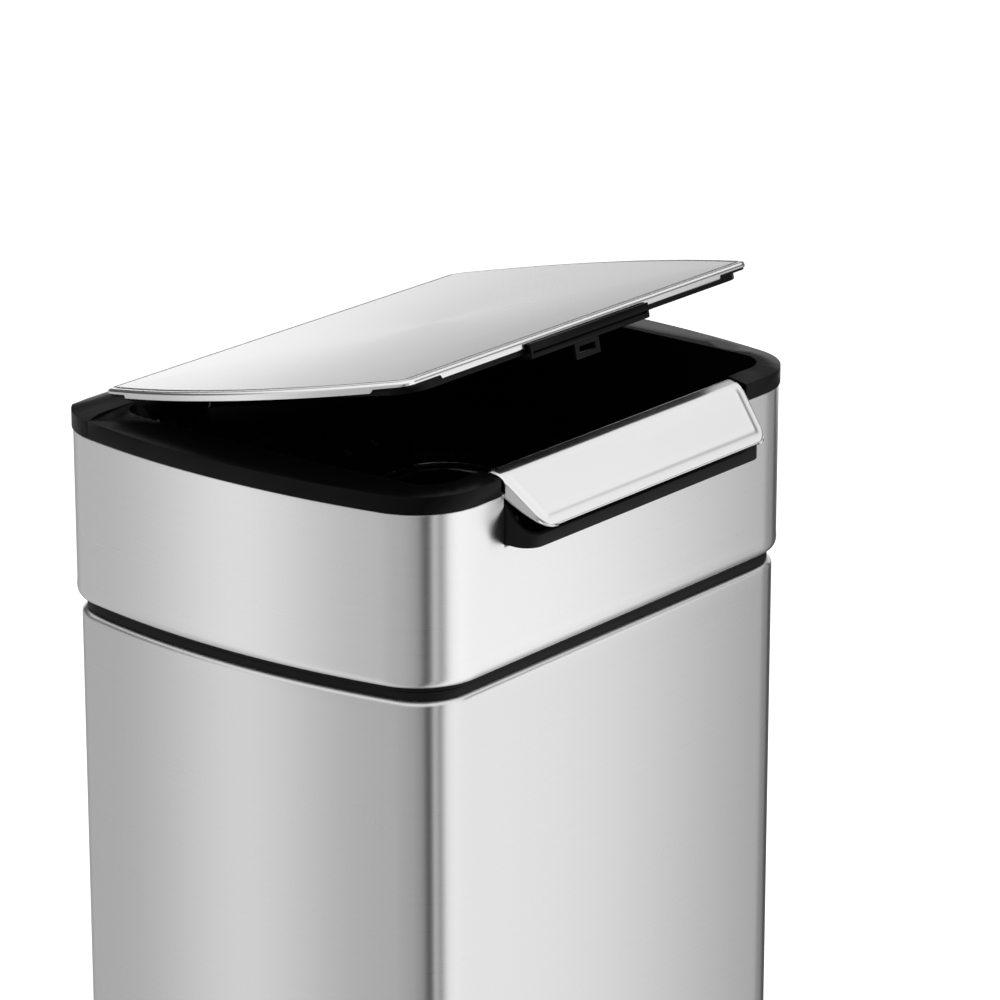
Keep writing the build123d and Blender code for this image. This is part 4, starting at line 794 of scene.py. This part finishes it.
@dataclass
class Liner:
    """Bag: folded over the ring, hanging in long uneven folds down to a slack bottom."""

    seed: int = 11
    wall: float = 11.3
    fold_z: float = 519.1
    fold_insets: tuple[float, ...] = (6.5, 8.5, 10.4)
    upper: tuple[float, float, int] = (518.5, 480.0, 10)
    lower_from: float = 470.0
    free_z: float = 500.0
    bottom_z: float = 38.0
    slack: float = 12.0
    lift: float = 1.5
    depth: float = 5.0
    full_depth: float = 120.0
    drift: float = 0.004
    drift_z: float = 519.0
    wave_counts: tuple[int, ...] = (11, 19, 31, 53)
    film: float = 0.3

    def build(self, finishes: Finishes) -> bpy.types.Object:
        """Wall inset grows by folds: sine waves along the perimeter, stronger lower down."""
        rng = np.random.default_rng(self.seed)
        lower = np.linspace(self.lower_from, self.bottom_z + self.slack, 40)
        levels = np.r_[np.linspace(*self.upper), lower]
        base = BODY.around(self.wall)
        inward = BODY.around(self.wall + 1.0) - base
        turn = np.linspace(0, 2 * math.pi, len(base), endpoint=False)
        rows = [at_height(BODY.around(inset), self.fold_z) for inset in self.fold_insets]
        waves = [(k, rng.uniform(0, 2 * math.pi), rng.uniform(0.4, 1.0)) for k in self.wave_counts]
        for z in levels:
            deep = np.clip((self.free_z - z) / self.full_depth, 0, 1)
            lean = self.drift * (self.drift_z - z)
            fold = sum(a * np.sin(k * turn + p + lean * (k % 5 - 2)) for k, p, a in waves)
            push = self.depth * deep * (0.5 + 0.5 * np.tanh(fold))
            rows.append(at_height(base + inward * push[:, None], z))
        last = rows[-1]
        middle = np.array([0, 0, self.bottom_z + self.lift])
        for scale in np.linspace(1, 0, 14)[1:]:
            rows.append(middle + (last - middle) * (scale, scale, scale**4))
        obj = grid_piece("bin_liner_film", np.stack(rows))
        thickened(obj, self.film, offset=0.0)
        dress(obj, finishes.film)
        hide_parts("bin_liner")
        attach(obj, "bin_body")
        return obj


@dataclass
class MouldedParts:
    """Black and grey mouldings: copies of their nodes with softened edges."""

    soft: dict[str, tuple[str, float]] = field(default_factory=lambda: {
        "rim_frame": ("head", 0.7),
        "rear_cover": ("head", 0.8),
        "bar_tray": ("head", 0.8),
        "lid_striker": ("lid", 0.35),
        "seam_ring": ("bin_body", 0.3),
        "bag_hoop": ("bin_body", 0.3),
        "base_tray": ("bin_body", 0.8),
    })

    def build(self, finishes: Finishes) -> None:
        """Soften each moulding and dress it by its record slot."""
        for node, (body, width) in self.soft.items():
            piece = softened(node, width)
            dress(piece, finishes.by_slot[SLOTS[node]])
            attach(piece, body)
            log.info("%s softened by %.2f mm", node, width)


@dataclass
class Hardware:
    """Every node that keeps its own mesh: arms, brackets, pins, screws, inner panel."""

    def build(self, finishes: Finishes) -> None:
        """Dress the nodes by their record slots."""
        for node, slot in SLOTS.items():
            dress(frame["nodes"][node], finishes.by_slot[slot])


@dataclass
class BarSprings:
    """Coil springs under the push bar; the real ones shorten as the bar is pressed, this copy keeps one
    shape.
    """

    node: str = "bar_springs"
    seat_z: float = 606.0
    press: float = 2.0

    def build(self, finishes: Finishes) -> bpy.types.Object:
        """Copy the coils, dress them and hide the node they stand for."""
        obj = shown("bar_springs_coils", frame["nodes"][self.node].data.copy())
        dress(obj, finishes.by_slot[SLOTS[self.node]])
        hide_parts(self.node)
        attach(obj, "head")
        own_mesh(obj)
        return obj


# ------------------------------------------------------------------ studio
@dataclass(frozen=True)
class Lamp:
    """Square soft lamp: its place in metres, its side and its power."""

    name: str
    place: Triple
    size: float
    power: float


@dataclass(frozen=True)
class Card:
    """Upright board across X that only reflections see; its light fades along Y.

    The board is in millimetres. The fade is two pairs of a y in metres and the light there.
    """

    name: str
    x: float
    y: tuple[float, float]
    z: tuple[float, float]
    fade: tuple[tuple[float, float], tuple[float, float]]

    def build(self) -> None:
        """Make the board and hide it from all but glossy rays."""
        points = np.array([[[self.x, y, z] for y in self.y] for z in self.z], float)
        obj = grid_piece(self.name, points, closed=False)
        material, graph = fresh(bpy.data.materials, self.name)
        (low, first), (high, last) = self.fade
        light = graph.axes("Object")[1].above(low, high) * (last - first) + first
        glow = graph.node("ShaderNodeEmission", None, {"Color": WHITE, "Strength": light})
        graph.finish("ShaderNodeOutputMaterial", glow)
        dress(obj, material)
        for ray in ("camera", "diffuse", "transmission", "volume_scatter", "shadow"):
            setattr(obj, f"visible_{ray}", False)


@dataclass
class Studio:
    """Pale floor, soft light, boards beside the bin and the camera."""

    pitch: float = 18.1456
    azimuth: float = -51.5109
    unit: float = 178.0
    distance: float = 17.58
    offset: tuple[float, float] = (0.2437, 0.2915)
    level: float = 515.0
    focal: float = 4.9124  # focal length in picture widths
    sensor: float = 36.0
    sight: float = 60.0
    floor_half: float = 30000.0
    floor_z: float = -0.5
    floor_tone: float = 0.85
    floor_glow: float = 0.8
    ring_gain: float = 1.12
    plain: float = 0.4
    rear: tuple[float, float] = (-0.2, 0.2)
    horizon: tuple[float, float] = (-0.02, 0.06)
    dim: float = 0.07
    ceiling: tuple[float, float] = (0.43, 0.52)
    ceiling_rear: tuple[float, float] = (0.1, 0.95)
    ceiling_drop: float = 0.12
    aim_z: float = 0.55
    lights: tuple[Lamp, ...] = (
        Lamp("key", (-1.6, -1.9, 2.6), 1.8, 20.0),
        Lamp("fill", (2.2, -0.8, 2.0), 1.6, 7.0),
    )
    cards: tuple[Card, ...] = (
        Card("card_right", 450, (-700, -180), (-500, 700), ((-0.60, 1.12), (-0.26, 0.30))),
        Card("card_behind", 750, (-100, 1900), (450, 765), ((0.36, 0.78), (1.00, 1.22))),
    )

    def camera(self) -> None:
        """Camera at the picture's viewing angle: it looks at a point right of the axis and above it."""
        a, e = math.radians(self.azimuth), math.radians(self.pitch)
        back = Vector((math.sin(a) * math.cos(e), -math.cos(a) * math.cos(e), math.sin(e)))
        right = Vector((math.cos(a), math.sin(a), 0.0))
        up = back.cross(right)
        target = right * self.offset[0] * self.unit + up * self.offset[1] * self.unit
        place = target + back * self.distance * self.unit + Vector((0, 0, self.level))
        data = bpy.data.cameras.new("camera")
        data.lens = self.focal * self.sensor
        data.sensor_width = self.sensor
        data.clip_end = self.sight
        camera = shown("camera", data)
        camera.location = place * MM
        camera.rotation_euler = back.to_track_quat("Z", "Y").to_euler()
        bpy.context.scene.camera = camera

    def floor(self) -> None:
        """Large pale floor: its own white to the camera, with the soft shadow kept."""
        ends = (-self.floor_half, self.floor_half)
        points = np.array([[[x, y, self.floor_z] for x in ends] for y in ends], float)
        obj = grid_piece("floor", points, closed=False)
        material, graph = fresh(bpy.data.materials, "floor")
        ray = graph.out(graph.node("ShaderNodeLightPath"), "Is Camera Ray")
        matt = graph.node("ShaderNodeBsdfDiffuse", None, {"Color": grey(self.floor_tone)})
        glow = graph.node("ShaderNodeEmission", None, {"Color": WHITE, "Strength": ray * self.floor_glow})
        both = graph.node("ShaderNodeAddShader", None, {0: matt.outputs[0], 1: glow.outputs[0]})
        graph.finish("ShaderNodeOutputMaterial", both)
        dress(obj, material)
        obj.visible_glossy = False

    def world(self) -> None:
        """White to the camera, a plain grey light on the object, and a studio round it for metal.

        The studio is a function of direction: soft boxes and gaps round the horizon, a dark
        upper half behind the bin, and a bright ceiling.
        """
        world, graph = fresh(bpy.data.worlds, "studio")
        world.cycles.sampling_method = "NONE"
        bpy.context.scene.world = world
        x, y, z = graph.axes("Generated")
        node = graph.node("ShaderNodeMath", {"operation": "ARCTAN2"}, {0: -y, 1: -x})
        turn = graph.out(node) / (2 * math.pi) + 0.5
        ring = graph.node("ShaderNodeValToRGB", {"stops": self.ring_stops()}, {"Fac": turn})
        ring.color_ramp.interpolation = "LINEAR"
        boxes = graph.out(ring, "Color") * self.ring_gain
        behind = x * 0.7 + y * 0.7
        dark = behind.above(*self.rear) * z.above(*self.horizon)
        walls = boxes * (1.0 - dark) + dark * self.dim
        ceiling = z.above(*self.ceiling)
        overhead = 1.0 - behind.above(*self.ceiling_rear) * self.ceiling_drop
        level = walls * (1.0 - ceiling) + ceiling * overhead
        path = graph.node("ShaderNodeLightPath")
        camera, glossy = graph.out(path, "Is Camera Ray"), graph.out(path, "Is Glossy Ray")
        strength = glossy * level + (1.0 - glossy) * self.plain
        strength = camera + (1.0 - camera) * strength
        back = graph.node("ShaderNodeBackground", None, {"Color": WHITE, "Strength": strength})
        graph.finish("ShaderNodeOutputWorld", back)

    @staticmethod
    def ring_stops() -> list[tuple[float, float]]:
        """Levels of the soft boxes by azimuth in degrees from -X towards -Y."""
        table = [
            (-180, 0.05), (-140, 0.15),  # dark behind
            (-98, 0.47), (-60, 0.48),  # broad fill at the left
            (-39, 0.84), (-22, 0.45),  # strip light
            (20, 0.38), (40, 0.28),  # dim side
            (50, 0.06), (57, 0.04),  # black flag
            (65, 0.60), (76, 0.20),  # thin strip and a gap
            (90, 0.85), (105, 0.96), (145, 0.93),  # large box at the front right
            (165, 0.20), (180, 0.05),
        ]
        return [((angle + 180) / 360, level) for angle, level in table]

    def lamps(self) -> None:
        """One broad soft lamp above the front left, one weaker from the right."""
        for light in self.lights:
            data = bpy.data.lights.new(light.name, "AREA")
            data.energy = light.power
            data.size = light.size
            lamp = shown(light.name, data)
            place = Vector(light.place)
            lamp.location = place
            lamp.rotation_euler = (place - Vector((0, 0, self.aim_z))).to_track_quat("Z", "Y").to_euler()
            lamp.visible_glossy = False

    def build(self) -> None:
        """Set the whole stage."""
        self.camera()
        self.floor()
        for card in self.cards:
            card.build()
        self.world()
        self.lamps()
        bpy.context.scene.view_settings.view_transform = "Standard"


def main() -> None:
    """Build the looks in order and log the walls, mouldings and studio."""
    logging.basicConfig(level=logging.INFO, format="%(name)s: %(message)s")
    finishes = Finishes()
    Hardware().build(finishes)
    walls = (
        SteelWall("body_shell", "bin_body", BODY, 20.0, 516.0, 2.5, 10.0, 3.5, 8.0, rise=12.0),
        SteelWall("head_band", "head", HEAD, 525.0, 635.0, 5.0, 11.0, 1.5, 3.0, bead=0.3, notch=BAR_BAY),
    )
    for wall in walls:
        wall.build(finishes)
        log.info("%s skinned", wall.node)
    LidSkin().build(finishes)
    PushBar().build(finishes)
    Liner().build(finishes)
    BarSprings().build(finishes)
    MouldedParts().build(finishes)
    Studio().build()
    log.info("studio set")


if __name__ == "__main__":
    main()
